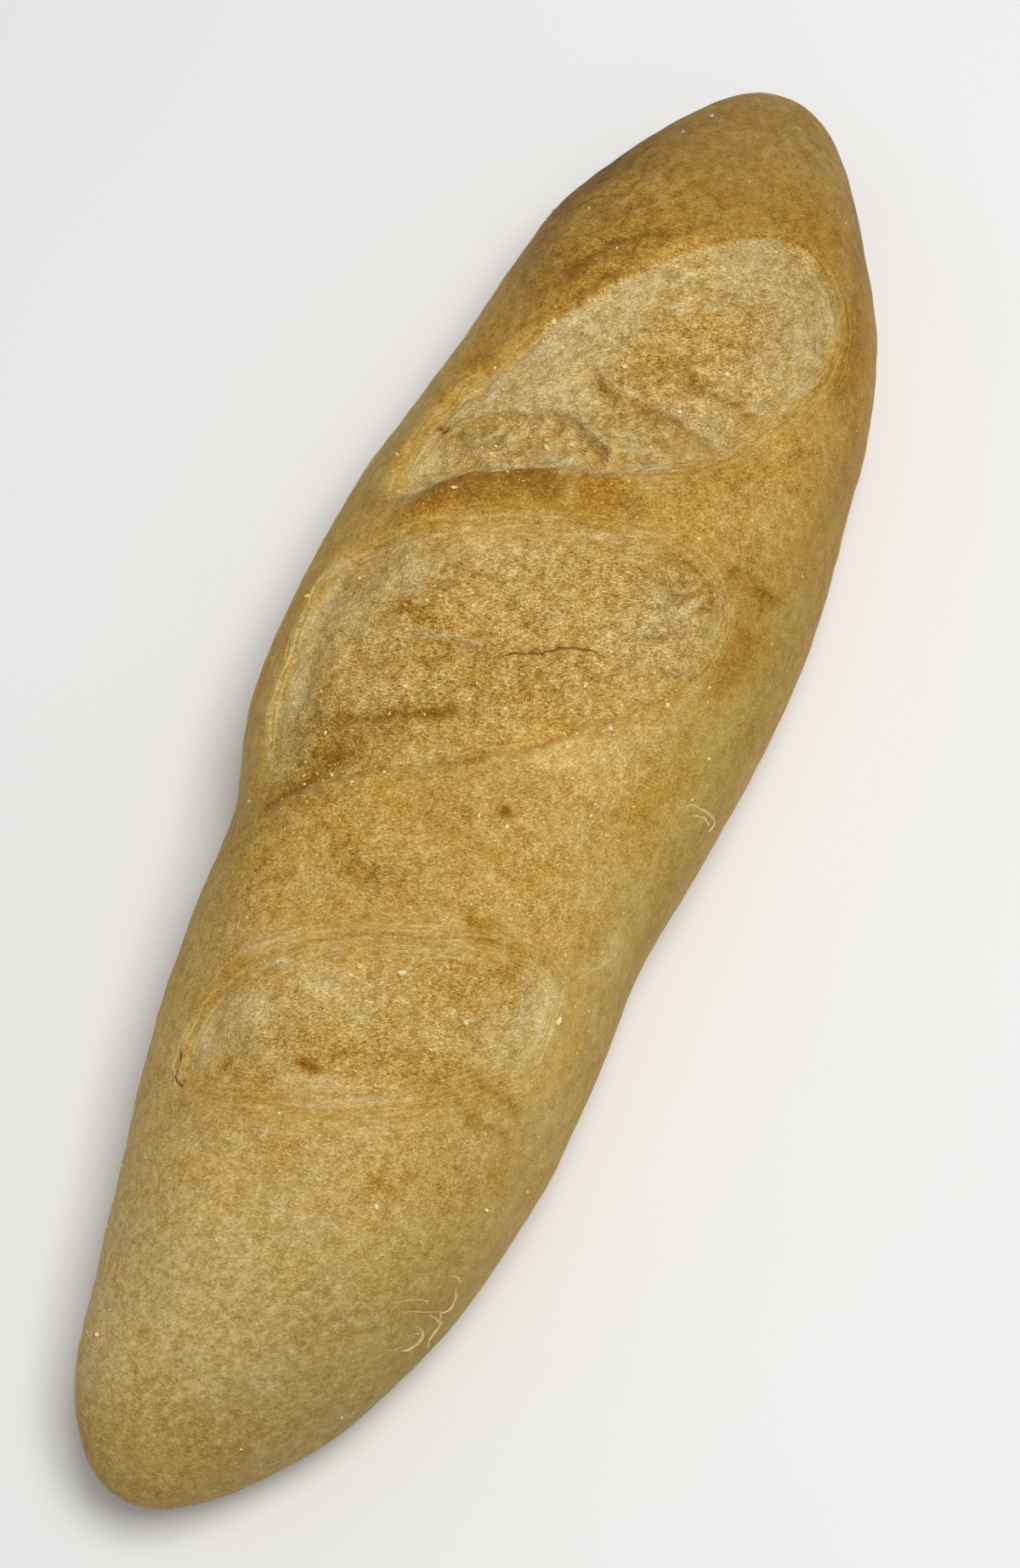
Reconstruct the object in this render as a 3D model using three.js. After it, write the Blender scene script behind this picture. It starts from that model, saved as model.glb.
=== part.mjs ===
// Slashed sourdough baguette, one solid loaf lying on its flat base.
// Millimetres. X runs along the loaf, Y across it and Z up, with the origin under its middle.
import * as THREE from 'three';

// Driving dimensions of the loaf before its slashes opened
const LENGTH = 310;
const WIDTH = 98;
const HEIGHT = 66;
const TIP_HEIGHT = 21; // height of both round ends above the board
const BASE_PRESS = 0.8; // depth of the underside that the board presses flat
const BELLY = 0.42; // height of the widest line, as a share of the local height
const ROUNDNESS = 2.15; // superellipse exponent of the cross section
const SQUARED_BASE = 1.22; // how far the lower half overshoots before the base cuts it flat
const CREST_ARC = 0.89; // surface distance from the crest, per radian and half width

// How late each outline of the loaf turns in towards the ends: 2 is an ellipse, more is blunter
const BLUNTNESS = { plan: 2.1, top: 2.4, relief: 6, base: 5, pressedBase: 8 };

// Nine even stations from the near end to the far end: share of the full width,
// and sideways drift of the middle line
const FULLNESS = [0.9, 0.91, 0.92, 0.9, 0.96, 1.01, 0.99, 1.02, 0.87];
const DRIFT = [5.7, -1.4, -2.8, -1.6, 1.0, -0.6, -2.1, -0.7, 1.1];

// Slashes, near to far. Points are (distance along the loaf, distance round from the crest).
// sink is the depth of the torn bed at its edge, swell how far its middle rises again,
// ear the height of the rolled edge on its near side, earReach how far it runs along the
// slash, and tear the line of a torn ridge across the bed.
const SLASHES = [
  {
    tip: [-81, 25],
    end: [-37, -29],
    sink: 1.0,
    swell: 0.9,
    ear: 0.5,
    earReach: 0.5,
    outline: [
      [-82, 22], [-75, 28], [-62, 24.5], [-51, 13.5], [-42, -2], [-36, -17],
      [-36, -32.5], [-50, -35], [-62, -25], [-72, -11.5], [-79, 4],
    ],
  },
  {
    tip: [-20, 34],
    end: [47, -27],
    sink: 2.0,
    swell: 1.5,
    ear: 1.8,
    earReach: 0.55,
    tear: [[13, 11], [13, 0], [18, -7], [23, -17]],
    outline: [
      [-23, 29], [-15, 38], [0, 40.5], [15, 42], [27, 31], [36, 14.5], [44, -2],
      [49, -20], [42, -33], [28, -34], [12, -22], [-2, -8], [-14, 8],
    ],
  },
  {
    tip: [39, 32],
    end: [114, -24],
    sink: 2.8,
    swell: 1.8,
    ear: 3.0,
    earReach: 0.6,
    tear: [[59, 25], [65, 5], [72, 0], [70, -10], [69, -21]],
    outline: [
      [39, 32], [51, 35.5], [66, 30], [80, 20.5], [97, 9], [110, -1.5], [118, -14],
      [112, -27], [99, -32], [80, -25.5], [67, -18], [56, -2], [46, 20],
    ],
  },
];
const OUTLINE_STEPS = 52; // straight pieces in one smoothed outline
const BED = { step: 5, swellFrom: 5, swellTo: 15, shallowFrom: 0.3, shallowTo: 0.95, loss: 0.7 };
const EAR = { setBack: 5, width: 4.5, sideFrom: 2, sideTo: 9, start: 0.1, fade: 0.3 };
const TEAR = { height: 1.1, width: 3.5 };

// Waist between the near and the middle slash, and slow unevenness of the dough on top
const WAIST = { x: -24, reach: 13, depth: 2.0, flankFrom: 18, flankTo: 46 };
const LUMPS = [
  { height: 0.7, along: 122, round: 94, phase: 0.4 },
  { height: 0.5, along: 74, round: -58, phase: 2.1 },
  { height: 0.35, along: -46, round: 42, phase: 4.0 },
];
const CROWN = { from: 25, to: 55 }; // distance round from the crest where the lumps die out
const UNDERSIDE = { from: 1.6, to: 2.2 }; // angle from the crest where all relief dies out

// Mesh density
const RINGS = 104;
const SPOKES = 44;
const END_CLUSTER = 0.55; // 0 spaces the rings evenly, 1 crowds them into the round ends
const TOP_CLUSTER = 0.35; // 0 spaces the spokes evenly, more crowds them onto the top

const { clamp, lerp, smoothstep } = THREE.MathUtils;
const taper = (xi, bluntness) => Math.sqrt(Math.max(0, 1 - Math.abs(xi) ** bluntness));
const bell = (distance, width) => Math.exp(-((distance / width) ** 2));

// Smooth curve through even stations, read at xi from -1 to 1
function throughStations(values) {
  const places = values.map((_, i) => lerp(-1, 1, i / (values.length - 1)));
  const curve = new THREE.CubicInterpolant(places, values, 1, [0]);
  return (xi) => curve.evaluate(xi)[0];
}
const fullnessAt = throughStations(FULLNESS);
const driftAt = throughStations(DRIFT);

const halfWidthAt = (xi) => (WIDTH / 2) * taper(xi, BLUNTNESS.plan) * fullnessAt(xi);

// Point of the unslashed loaf at xi along it and at an angle from the crest,
// positive towards +Y: a superellipse section whose lower half is cut off flat
function loafPoint(xi, angle) {
  const pressed = taper(xi, BLUNTNESS.pressedBase);
  const top = lerp(TIP_HEIGHT, HEIGHT, taper(xi, BLUNTNESS.top));
  const lift = lerp(TIP_HEIGHT, 0, taper(xi, BLUNTNESS.base));
  const base = Math.max(0, lift - BASE_PRESS * pressed);
  const belly = lerp(base, top, BELLY);
  const rounded = (value) => Math.sign(value) * Math.abs(value) ** (2 / ROUNDNESS);
  const across = rounded(Math.sin(angle));
  const upward = rounded(Math.cos(angle));
  const reach = upward > 0 ? top - belly : (belly - base) * lerp(1, SQUARED_BASE, pressed);
  return new THREE.Vector3(
    (xi * LENGTH) / 2,
    driftAt(xi) + halfWidthAt(xi) * across,
    Math.max(belly + reach * upward, base),
  );
}

// Outward normal of the unslashed loaf, from two small steps over its surface
function loafNormal(xi, angle) {
  const step = 1e-3;
  const along = loafPoint(xi + step, angle).sub(loafPoint(xi - step, angle));
  const round = loafPoint(xi, angle + step).sub(loafPoint(xi, angle - step));
  return along.cross(round).normalize();
}

// A slash's outline as straight pieces of a smooth closed curve
function smoothOutline(points) {
  const corners = points.map(([x, round]) => new THREE.Vector3(x, round, 0));
  return new THREE.CatmullRomCurve3(corners, true, 'catmullrom', 0.5).getPoints(OUTLINE_STEPS);
}
for (const slash of SLASHES) {
  slash.edge = smoothOutline(slash.outline);
  slash.ridge = (slash.tear ?? []).map(([x, round]) => new THREE.Vector3(x, round, 0));
}

// Distance from a point to a line of straight pieces
function distanceTo(line, x, round) {
  let nearest = Infinity;
  for (let i = 0; i + 1 < line.length; i++) {
    const a = line[i];
    const dx = line[i + 1].x - a.x;
    const dy = line[i + 1].y - a.y;
    const share = clamp(((x - a.x) * dx + (round - a.y) * dy) / (dx * dx + dy * dy), 0, 1);
    nearest = Math.min(nearest, Math.hypot(x - a.x - share * dx, round - a.y - share * dy));
  }
  return nearest;
}

// Whether a point lies inside a closed line, by counting the pieces to its right
function isInside(line, x, round) {
  let inside = false;
  for (let i = 0; i + 1 < line.length; i++) {
    const a = line[i];
    const b = line[i + 1];
    const crosses = a.y > round !== b.y > round;
    if (crosses && x < a.x + ((round - a.y) / (b.y - a.y)) * (b.x - a.x)) inside = !inside;
  }
  return inside;
}

// Height that one slash adds: the bed steps down inside its edge, swells up again in the
// middle and is torn into a ridge, and the crust rolls up into an ear along the near side
function slashRelief(slash, x, round) {
  const reach = distanceTo(slash.edge, x, round);
  const inside = isInside(slash.edge, x, round) ? reach : -reach;
  const run = new THREE.Vector2(slash.end[0] - slash.tip[0], slash.end[1] - slash.tip[1]);
  const from = new THREE.Vector2(x - slash.tip[0], round - slash.tip[1]);
  const along = from.dot(run) / run.lengthSq();
  const nearSide = from.cross(run) / run.length();
  const open = 1 - BED.loss * smoothstep(along, BED.shallowFrom, BED.shallowTo);
  const bed = -slash.sink * open * smoothstep(inside, -BED.step / 2, BED.step / 2);
  const swell = slash.swell * smoothstep(inside, BED.swellFrom, BED.swellTo);
  const ridge = TEAR.height * bell(distanceTo(slash.ridge, x, round), TEAR.width);
  const earSide = smoothstep(nearSide, EAR.sideFrom, EAR.sideTo);
  const earStart = smoothstep(along, -EAR.start, EAR.start);
  const earEnd = 1 - smoothstep(along, slash.earReach, slash.earReach + EAR.fade);
  const ear = slash.ear * earSide * earStart * earEnd * bell(inside + EAR.setBack, EAR.width);
  return bed + swell + ridge + ear;
}

// Height of all relief over the unslashed loaf, none of it on the underside
function relief(xi, angle) {
  const x = (xi * LENGTH) / 2;
  const round = CREST_ARC * halfWidthAt(xi) * angle;
  const flank = smoothstep(Math.abs(round), WAIST.flankFrom, WAIST.flankTo);
  const crown = 1 - smoothstep(Math.abs(round), CROWN.from, CROWN.to);
  let height = -WAIST.depth * flank * bell(x - WAIST.x, WAIST.reach);
  for (const slash of SLASHES) height += slashRelief(slash, x, round);
  for (const lump of LUMPS) {
    const turns = x / lump.along + round / lump.round;
    height += lump.height * crown * Math.sin(2 * Math.PI * turns + lump.phase);
  }
  const upper = 1 - smoothstep(Math.abs(angle), UNDERSIDE.from, UNDERSIDE.to);
  return height * upper * taper(xi, BLUNTNESS.relief);
}

// Closed skin of the loaf: rings from the near tip to the far tip, and a point at each end
function loafGeometry() {
  const vertices = [];
  const triangles = [];
  const ringStart = (ring) => 1 + ring * SPOKES;
  const lastPoint = 1 + RINGS * SPOKES;
  vertices.push(...loafPoint(-1, 0).toArray());
  for (let ring = 0; ring < RINGS; ring++) {
    const share = (ring + 1) / (RINGS + 1);
    const xi = lerp(2 * share - 1, -Math.cos(Math.PI * share), END_CLUSTER);
    for (let spoke = 0; spoke < SPOKES; spoke++) {
      const turn = (2 * spoke) / SPOKES - 1;
      const angle = Math.PI * lerp(turn, turn ** 3, TOP_CLUSTER);
      const point = loafPoint(xi, angle);
      point.addScaledVector(loafNormal(xi, angle), relief(xi, angle));
      vertices.push(point.x, point.y, point.z);
      const next = (spoke + 1) % SPOKES;
      const here = ringStart(ring);
      const ahead = ringStart(ring + 1);
      if (ring === 0) triangles.push(0, here + spoke, here + next);
      if (ring === RINGS - 1) {
        triangles.push(here + next, here + spoke, lastPoint);
      } else {
        triangles.push(here + spoke, ahead + spoke, here + next);
        triangles.push(here + next, ahead + spoke, ahead + next);
      }
    }
  }
  vertices.push(...loafPoint(1, 0).toArray());
  const geometry = new THREE.BufferGeometry();
  geometry.setAttribute('position', new THREE.Float32BufferAttribute(vertices, 3));
  geometry.setIndex(triangles);
  geometry.computeVertexNormals();
  return geometry;
}

const crust = new THREE.MeshStandardMaterial({ color: 0xb98a4a, roughness: 0.8, metalness: 0 });
const loaf = new THREE.Mesh(loafGeometry(), crust);
loaf.name = 'loaf';

const baguette = new THREE.Group();
baguette.add(loaf);

export default baguette;
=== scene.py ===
"""A short plump sourdough baguette: golden crust, torn slashes, peeling skin and loose semolina.

Places on the loaf are pairs (x, round) in millimetres: x runs along the loaf and round is the
distance over the crust from the crest line, positive towards +Y. Most lines run from +round to
-round, so their right-hand side is the one towards -x, called the near side.
"""
import math
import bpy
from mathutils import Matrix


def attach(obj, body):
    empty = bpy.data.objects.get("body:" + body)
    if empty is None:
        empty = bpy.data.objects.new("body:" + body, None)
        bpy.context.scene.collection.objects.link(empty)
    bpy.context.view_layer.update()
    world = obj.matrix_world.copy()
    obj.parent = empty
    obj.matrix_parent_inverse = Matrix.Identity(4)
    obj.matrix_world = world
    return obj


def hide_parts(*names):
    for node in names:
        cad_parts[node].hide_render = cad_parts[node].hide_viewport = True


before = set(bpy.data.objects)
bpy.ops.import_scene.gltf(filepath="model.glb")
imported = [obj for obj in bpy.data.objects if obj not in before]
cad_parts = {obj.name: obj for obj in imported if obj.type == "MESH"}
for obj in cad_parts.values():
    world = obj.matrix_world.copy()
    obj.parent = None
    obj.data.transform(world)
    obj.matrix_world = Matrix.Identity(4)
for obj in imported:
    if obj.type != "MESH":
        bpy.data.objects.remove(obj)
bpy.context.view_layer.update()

from types import SimpleNamespace

import bpy
import numpy as np
from mathutils import Matrix, Vector

METRES = 0.001

# The loaf's form in millimetres, the same as its solid's
LENGTH = 310.0
WIDTH = 98.0
HEIGHT = 66.0
TIP_HEIGHT = 21.0
BASE_PRESS = 0.8
BELLY = 0.42
ROUNDNESS = 2.15
SQUARED_BASE = 1.22
CREST_ARC = 0.89
PLAN_BLUNT = 2.1
TOP_BLUNT = 2.4
BASE_BLUNT = 5.0
RELIEF_BLUNT = 6.0
PRESSED_BLUNT = 8.0
FULLNESS = np.array([0.9, 0.91, 0.92, 0.9, 0.96, 1.01, 0.99, 1.02, 0.87])
DRIFT = np.array([5.7, -1.4, -2.8, -1.6, 1.0, -0.6, -2.1, -0.7, 1.1])
WAIST = SimpleNamespace(x=-24.0, reach=13.0, depth=2.0, flank=(18.0, 46.0))
LUMPS = [(0.7, 122.0, 94.0, 0.4), (0.5, 74.0, -58.0, 2.1), (0.35, -46.0, 42.0, 4.0)]
CROWN = (25.0, 55.0)
UNDERSIDE = (1.6, 2.2)


def sides(far, near, turn):
    """A value on the far and the near side of a slash, each before and after a turn along it."""
    return SimpleNamespace(far=far, near=near, turn=turn)


# The three slashes: outline, depth of the bed, height of the ear. By side come the half-width of the
# edge, the stretch streaks beside it and the thin brown line on it.
SLASHES = {
    "near": SimpleNamespace(
        tip=(-81, 25), end=(-37, -29), sink=1.0, swell=0.9, ear=0.5, ear_reach=0.5,
        edge=sides(far=(1.6, 2.5), near=(4.0, 3.0), turn=(0.0, 0.3)),
        streak=sides(far=(1.0, 1.0), near=(1.0, 0.9), turn=(0.3, 0.6)),
        line=sides(far=(0.35, 0.35), near=(0.2, 0.2), turn=(0.3, 0.6)),
        outline=[(-82, 22), (-75, 28), (-62, 24.5), (-51, 13.5), (-42, -2), (-36, -17),
                 (-36, -32.5), (-50, -35), (-62, -25), (-72, -11.5), (-79, 4)]),
    "middle": SimpleNamespace(
        tip=(-20, 34), end=(47, -27), sink=1.9, swell=1.2, ear=1.8, ear_reach=0.55,
        edge=sides(far=(2.4, 3.0), near=(6.0, 1.8), turn=(0.3, 0.55)),
        streak=sides(far=(0.8, 1.0), near=(0.2, 0.6), turn=(0.2, 0.45)),
        line=sides(far=(0.35, 0.15), near=(0.0, 0.3), turn=(0.4, 0.7)),
        outline=[(-23, 29), (-15, 38), (0, 40.5), (15, 42), (27, 31), (36, 14.5), (44, -2),
                 (49, -20), (42, -33), (28, -34), (12, -22), (-2, -8), (-14, 8)]),
    "far": SimpleNamespace(
        tip=(39, 32), end=(114, -24), sink=2.8, swell=1.8, ear=3.0, ear_reach=0.18,
        edge=sides(far=(2.4, 1.1), near=(2.2, 3.0), turn=(0.35, 0.6)),
        streak=sides(far=(0.9, 0.3), near=(0.2, 1.0), turn=(0.3, 0.5)),
        line=sides(far=(0.4, 0.8), near=(0.0, 0.5), turn=(0.3, 0.5)),
        outline=[(38.5, 33), (50, 36.5), (66, 32.5), (80, 21.5), (97, 9), (110, -1.5), (118, -14),
                 (112, -27), (99, -32), (80, -25.5), (68, -18.5), (57, -5), (53, 6), (45.5, 21.5)]),
}
OUTLINE_STEPS = 78
SIDE_CHANGE = (-4.0, 4.0)
BED_START = (-0.5, 2.5)
BED_SWELL = (4.0, 17.0)
BED_SHALLOW = (0.3, 0.95)
BED_LOSS = 0.7
EAR_SET_BACK = 5.0
EAR_WIDTH = 4.5
EAR_SIDE = (2.0, 9.0)
EAR_START = 0.1
EAR_FADE = 0.3


def tear(*line, groove=0.0, width=0.8, drop=0.0, recover=5.0, lip=0.0,
         stain=0.0, shade=0.0, shade_reach=3.0):
    """A torn line: groove, drop of its near side, lip on its far side, thin stain and wide shade."""
    return SimpleNamespace(line=line, groove=groove, width=width, drop=drop, recover=recover, lip=lip,
                           stain=stain, shade=shade, shade_reach=shade_reach)


def rim(*line, height=0.2, pale=0.5):
    """A thin pale line of fibres that stands up from the crust."""
    return SimpleNamespace(line=line, height=height, pale=pale)


TERRACE = [(49, 34), (53.9, 31.4), (57.2, 28.8), (59.8, 26.3), (61.9, 22), (62.7, 16.6), (63.9, 12),
           (64.4, 8), (62.7, 3.4), (60.4, -1), (60.6, -6.5)]
TOASTED_EDGE = [(76.5, 9), (73.3, 4.2), (71.8, 0), (71.7, -5), (71.4, -10), (70.8, -14), (70, -20)]
TEARS = [
    # Far slash: the step of its lower terrace and the torn edge of its toasted floor
    tear(*TERRACE, groove=0.4, drop=1.8, recover=7.0, lip=0.5, stain=0.2, shade=0.5, shade_reach=1.4),
    tear(*TOASTED_EDGE,
         groove=0.3, drop=1.5, recover=5.0, lip=0.5, stain=0.18, shade=0.6, shade_reach=1.4),
    # The crust folded just outside its far border
    tear((78, 29.4), (84.4, 19.9), (91.9, 14), (99.6, 9),
         groove=0.4, width=1.2, shade=0.4, shade_reach=1.6),
    tear((92, 24), (97, 18.6), (103.4, 13.4), (107.9, 7.6), (112.5, 0.1),
         groove=0.3, width=1.4, shade=0.3, shade_reach=1.8),
    # Far slash: two short cracks in its floor
    tear((82, 0.5), (80.6, -5.5), (79.3, -13.3), (80, -18.3), (79.6, -24),
         groove=0.2, drop=0.8, recover=3.0, lip=0.4, stain=0.3, shade=0.6, shade_reach=1.2),
    tear((99.8, -7), (98, -11.7), (96.8, -15),
         groove=0.4, lip=0.25, stain=0.45, shade=0.25, shade_reach=1.2),
    # Middle slash: the flake and the crack in its floor, the fold at its lower left
    tear((11, 12.5), (13, 8.5), (14.4, 4.7), (14, 1), (12.6, -1.5),
         groove=0.1, drop=1.0, recover=3.0, lip=0.6, shade=0.3, shade_reach=1.6),
    tear((13, 0.5), (15.7, -3.5), (19.4, -8), (21.6, -11.6), (22.4, -14.4), (21.6, -17),
         groove=0.8, width=0.7, drop=-0.6, recover=3.0, lip=0.35, stain=0.95, shade=0.2, shade_reach=1.0),
    tear((-9, 23), (-6.6, 18), (-4.7, 13.3), (-2, 7.9), (0.7, 3.3), (3.4, -2.4),
         groove=1.2, width=1.7, lip=0.15, shade=0.8, shade_reach=2.0),
    # The valley below that fold, running the other way so that its shade is on the far side
    tear((-8, 11), (-12, 15.6), (-17.8, 20), (-22.8, 24.4), (-29.4, 32),
         groove=1.4, width=3.5, shade=0.6, shade_reach=3.2),
    tear((1.5, 24), (-4.7, 25.4), (-9.3, 26.5), (-16, 28.4),
         groove=0.5, width=1.4, shade=0.4, shade_reach=1.5),
    # Middle slash: its lower line and the wrinkles of its white end
    tear((-1, -9), (3.9, -15.3), (8.9, -20.7), (14.4, -25.3), (20.7, -29.8), (25, -33),
         groove=0.1, drop=-0.4, recover=6.0, stain=0.3, shade=0.2, shade_reach=1.0),
    tear((44.8, -14), (45.7, -21.7), (44, -25.9), (41.3, -29.1), (36, -28),
         groove=0.5, drop=0.5, recover=2.0, lip=0.6, stain=0.25, shade=0.5, shade_reach=1.0),
    tear((40.4, -12), (39.2, -19.3), (39.6, -25),
         groove=0.5, lip=0.6, stain=0.25, shade=0.5, shade_reach=1.0),
    tear((27.7, -15), (29, -21.4), (32.1, -25.1), (36.1, -26.5),
         groove=0.4, lip=0.5, stain=0.2, shade=0.4, shade_reach=1.0),
    # Near slash: the slit at its tip and the folds at its lower right
    tear((-74.5, 29.8), (-77, 29.2), (-80, 27.6), (-82.4, 24.4),
         groove=0.7, width=0.7, stain=1.0, shade=0.35, shade_reach=0.9),
    tear((-64, -18), (-66, -27.6), (-68, -37),
         groove=0.6, width=1.2, lip=0.4, shade=0.4, shade_reach=1.6),
    tear((-58.2, -21), (-59.4, -25.7), (-60.2, -29.7), (-62, -37),
         groove=0.6, width=1.2, lip=0.4, shade=0.4, shade_reach=1.6),
    # The pinch beside the middle slash's end
    tear((49.6, -28), (50, -33), (49.4, -37), (48.7, -41), (47.5, -45.5),
         groove=0.4, drop=1.6, recover=6.0, lip=0.6, shade=0.35, shade_reach=2.2),
]
TEAR_STEP = (-0.4, 1.3)
LINE_STEPS = 6
LINE_ENDS = 0.18
LIP_OFFSET = 0.9
LIP_WIDTH = 0.8
STAIN_REACH = 2.0

RIM_ABOVE_TEAR = 0.8
RIMS = [
    # Far slash: its far border, its right border, the fold beyond, the torn fringe at the ear's foot
    rim((98, 8.3), (90, 12.6), (81.7, 17.5), (70.5, 26), (59.8, 31.9), (52.2, 35), (46, 34.5),
        height=0.2, pale=0.75),
    rim((114.5, -25), (104.5, -27.4), (94.9, -27.4), (82.4, -24.3), height=0.1, pale=0.5),
    rim((118, 4), (110.6, 13.2), (97.8, 19.6), (90, 24), height=0.1, pale=0.35),
    rim((37.5, 33), (41, 27.5), (44.5, 22.5), (49, 16.5), (52.6, 11.5), (54, 6.5), (55.5, 0), (59.5, -7),
        (66, -15.5), height=0.4, pale=1.0),
    # The seam across the ear with its two branches, then the upper edges of the two large tears: pale
    # fibres, partly a painted highlight on their lit lips
    rim((57.5, 4.5), (54.7, 3.3), (48.7, 0.6), (45.3, -0.6), (42.5, -1.5), height=0.2, pale=0.4),
    rim((57, 8.5), (54, 5), (50, 1.6), height=0.1, pale=0.5),
    rim((57, -2), (54, 0.5), (49.5, 0.6), height=0.1, pale=0.5),
    rim(*[(x + RIM_ABOVE_TEAR, around) for x, around in TERRACE], height=0.1, pale=0.7),
    rim(*[(x + RIM_ABOVE_TEAR, around) for x, around in TOASTED_EDGE], height=0.1, pale=0.7),
    # Middle slash: the lip on its left, the flake above its crack, two arcs beyond it, its right end
    rim((30, 27.5), (28, 30.6), (24.4, 34.7), (21.2, 40.2), (18, 42.9), (14.4, 43.2), (7, 42.2),
        (-0.2, 41.3), (-10.2, 40.2), (-17.5, 36.5), (-22, 30.7), height=0.2, pale=0.95),
    rim((11, 12.5), (13.4, 8.5), (14.8, 4.7), (14.4, 1), (13, -1.5), height=0.25, pale=0.9),
    rim((27, 38), (33, 23.7), (41.3, 5.7), (47, -10.7), (47.4, -23.7), (45.3, -33.3),
        height=0.15, pale=0.5),
    rim((22.8, 35), (30.8, 21), (39.2, 5), (43.5, -10), (44, -22), height=0.12, pale=0.5),
    rim((45.5, -30), (43.5, -33.5), (38, -35.3), (32, -34.4), height=0.25, pale=0.5),
    rim((46.5, -21), (43.5, -28.3), (39, -31.5), (33, -31), height=0.2, pale=0.4),
    # The top of the pinch, made pale as a painted highlight on its lit crest, the stretched crust below the
    # middle slash, the valley's lip
    rim((51, -26), (50.6, -30.4), (49.6, -34.1), (48.4, -38), height=0.3, pale=0.4),
    rim((5.5, -7.4), (4.7, -8.2), (-0.7, -12.5), (-4.5, -17), height=0.15, pale=0.4),
    rim((17, -17.2), (16, -18.2), (9.3, -24.1), (3, -30.5), height=0.2, pale=0.5),
    rim((28, -28.5), (26.8, -29.8), (23.6, -35), (21.5, -38), height=0.2, pale=0.5),
    rim((-9, 15), (-10.2, 16.5), (-17.4, 23.6), (-23.6, 29.5), (-27, 33), height=0.25, pale=0.4),
    # Near slash: its tip, the bright lines at its right end, two arcs beyond it
    rim((-64, 27), (-68, 28.8), (-74, 30.4), (-78, 29.9), (-81.6, 28), (-83.6, 25),
        height=0.15, pale=0.7),
    rim((-33.5, -31), (-35.4, -33.8), (-41.7, -35), (-51.7, -34.6), (-56.5, -32), height=0.3, pale=0.8),
    rim((-37, -30), (-42, -32), (-50, -32), (-55, -29.5), height=0.2, pale=0.6),
    rim((-67.7, 30.7), (-57.7, 24.6), (-50, 14.7), (-44, 4.2), (-38.3, -8.9), (-33, -22.1),
        (-31.7, -32.4), height=0.15, pale=0.6),
    rim((-69.7, 25), (-60.6, 18), (-50, 8.3), (-44, -4.9), (-40.5, -15.9), (-41, -24),
        height=0.12, pale=0.5),
    # Near slash: the fold on its right, the ridges of its lower right, two arcs below it
    rim((-32.5, -38.5), (-30.3, -41.3), (-27.2, -45.3), (-24, -49), height=0.3, pale=0.7),
    rim((-65.5, -19.5), (-66.8, -21.8), (-69.3, -25.8), (-72, -30.5), height=0.2, pale=0.4),
    rim((-54.4, -23), (-55.1, -25.1), (-56.8, -30.9), (-58.8, -36), height=0.25, pale=0.4),
    rim((-85.5, 10), (-83.8, 3.3), (-81.7, -1.7), (-78.3, -8.3), (-74.2, -15), (-69, -23),
        height=0.12, pale=0.55),
    rim((-78, 2), (-75.5, -3), (-72, -8.3), (-67.5, -15), (-64, -19.5), height=0.2, pale=0.6),
]
RIM_WIDTH = 0.7
RIM_REACH = 2.0

# Small folds of wrinkled skin: x, round, reach along x, reach round, heading in degrees, wavelength, height
FOLDS = [
    # Middle slash: its white end, the streaks beside its upper edge
    (36, -25, 6, 6, 60, 3.4, 0.35), (41, -24, 4, 6, 30, 3.0, 0.3), (34, 12, 6, 14, 65, 3.0, 0.12),
    # Far slash: stretched fibres from its corner to its right end, and on its left
    (62, -9, 5, 9, 25, 3.0, 0.25), (55, 2, 5, 3, 85, 2.6, 0.25), (68, 28, 9, 4, 42, 2.8, 0.2),
    (57, 18, 4, 9, 15, 3.0, 0.3), (66, -4, 4, 10, 20, 3.0, 0.25), (84, -12, 8, 8, 30, 4.0, 0.2),
    (104, -22, 8, 8, 20, 4.0, 0.2),
    # The band beyond the far slash
    (113, 16, 14, 14, 45, 9.0, 0.3),
    # Near slash: the wrinkles above it and at its right end
    (-32, 8, 4, 7, 20, 3.0, 0.2), (-52, -25, 5, 4, 40, 3.4, 0.15),
]
# Holes of the far slash and the blister of the middle one: x, round, reach along x, reach round, depth
PITS = [
    (56, 33.2, 1.0, 1.0, 1.2), (86.5, 13.8, 0.8, 0.8, 0.5), (76, 21.7, 0.8, 1.0, 0.5),
    (18.6, 34.3, 1.0, 1.5, 0.5),
]

# Layers of dough noise: height in millimetres, or radians for the bend, then wavelength and seed
EDGE_WOBBLE = [(0.315, 9.0, 11), (0.054, 3.5, 12)]
TEAR_WOBBLE = [(0.35, 7.0, 13), (0.175, 3.2, 14)]
FOLD_BEND = [(1.6, 9.0, 41), (0.8, 4.0, 42)]
CRUST_WAVES = [(0.14, 26.0, 31), (0.05, 6.0, 32)]
TERRACE_RIDGES = [(0.55, 12.0, 21), (0.45, 6.0, 25)]
TERRACE_FINE = [(0.2, 3.2, 22)]
BED_ROUGHNESS = {
    "far": [(0.2, 7.0, 26), (0.1, 3.2, 22)],
    "middle": [(0.2, 8.0, 23), (0.06, 3.2, 22)],
    "near": [(0.15, 8.0, 24), (0.05, 3.2, 22)],
}
NOISE_WAVES = 28
NOISE_SPREAD = (0.7, 1.5)
TERRACE_SIDE = (-6.0, 5.0)
TERRACE_END = (0.5, 0.8)
TERRACE_LOSS = 0.6


def soft_step(value, low, high):
    """0 below low, 1 above high and the cubic 3t^2 - 2t^3 between them."""
    t = np.clip((value - low) / (high - low), 0.0, 1.0)
    return t * t * (3.0 - 2.0 * t)


def bell(distance, width):
    """A hump: e to the power of minus the square of distance over width."""
    return np.exp(-(distance / width) ** 2)


def blend(low, high, share):
    """The value a share of the way from low to high."""
    return low + (high - low) * share


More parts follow.
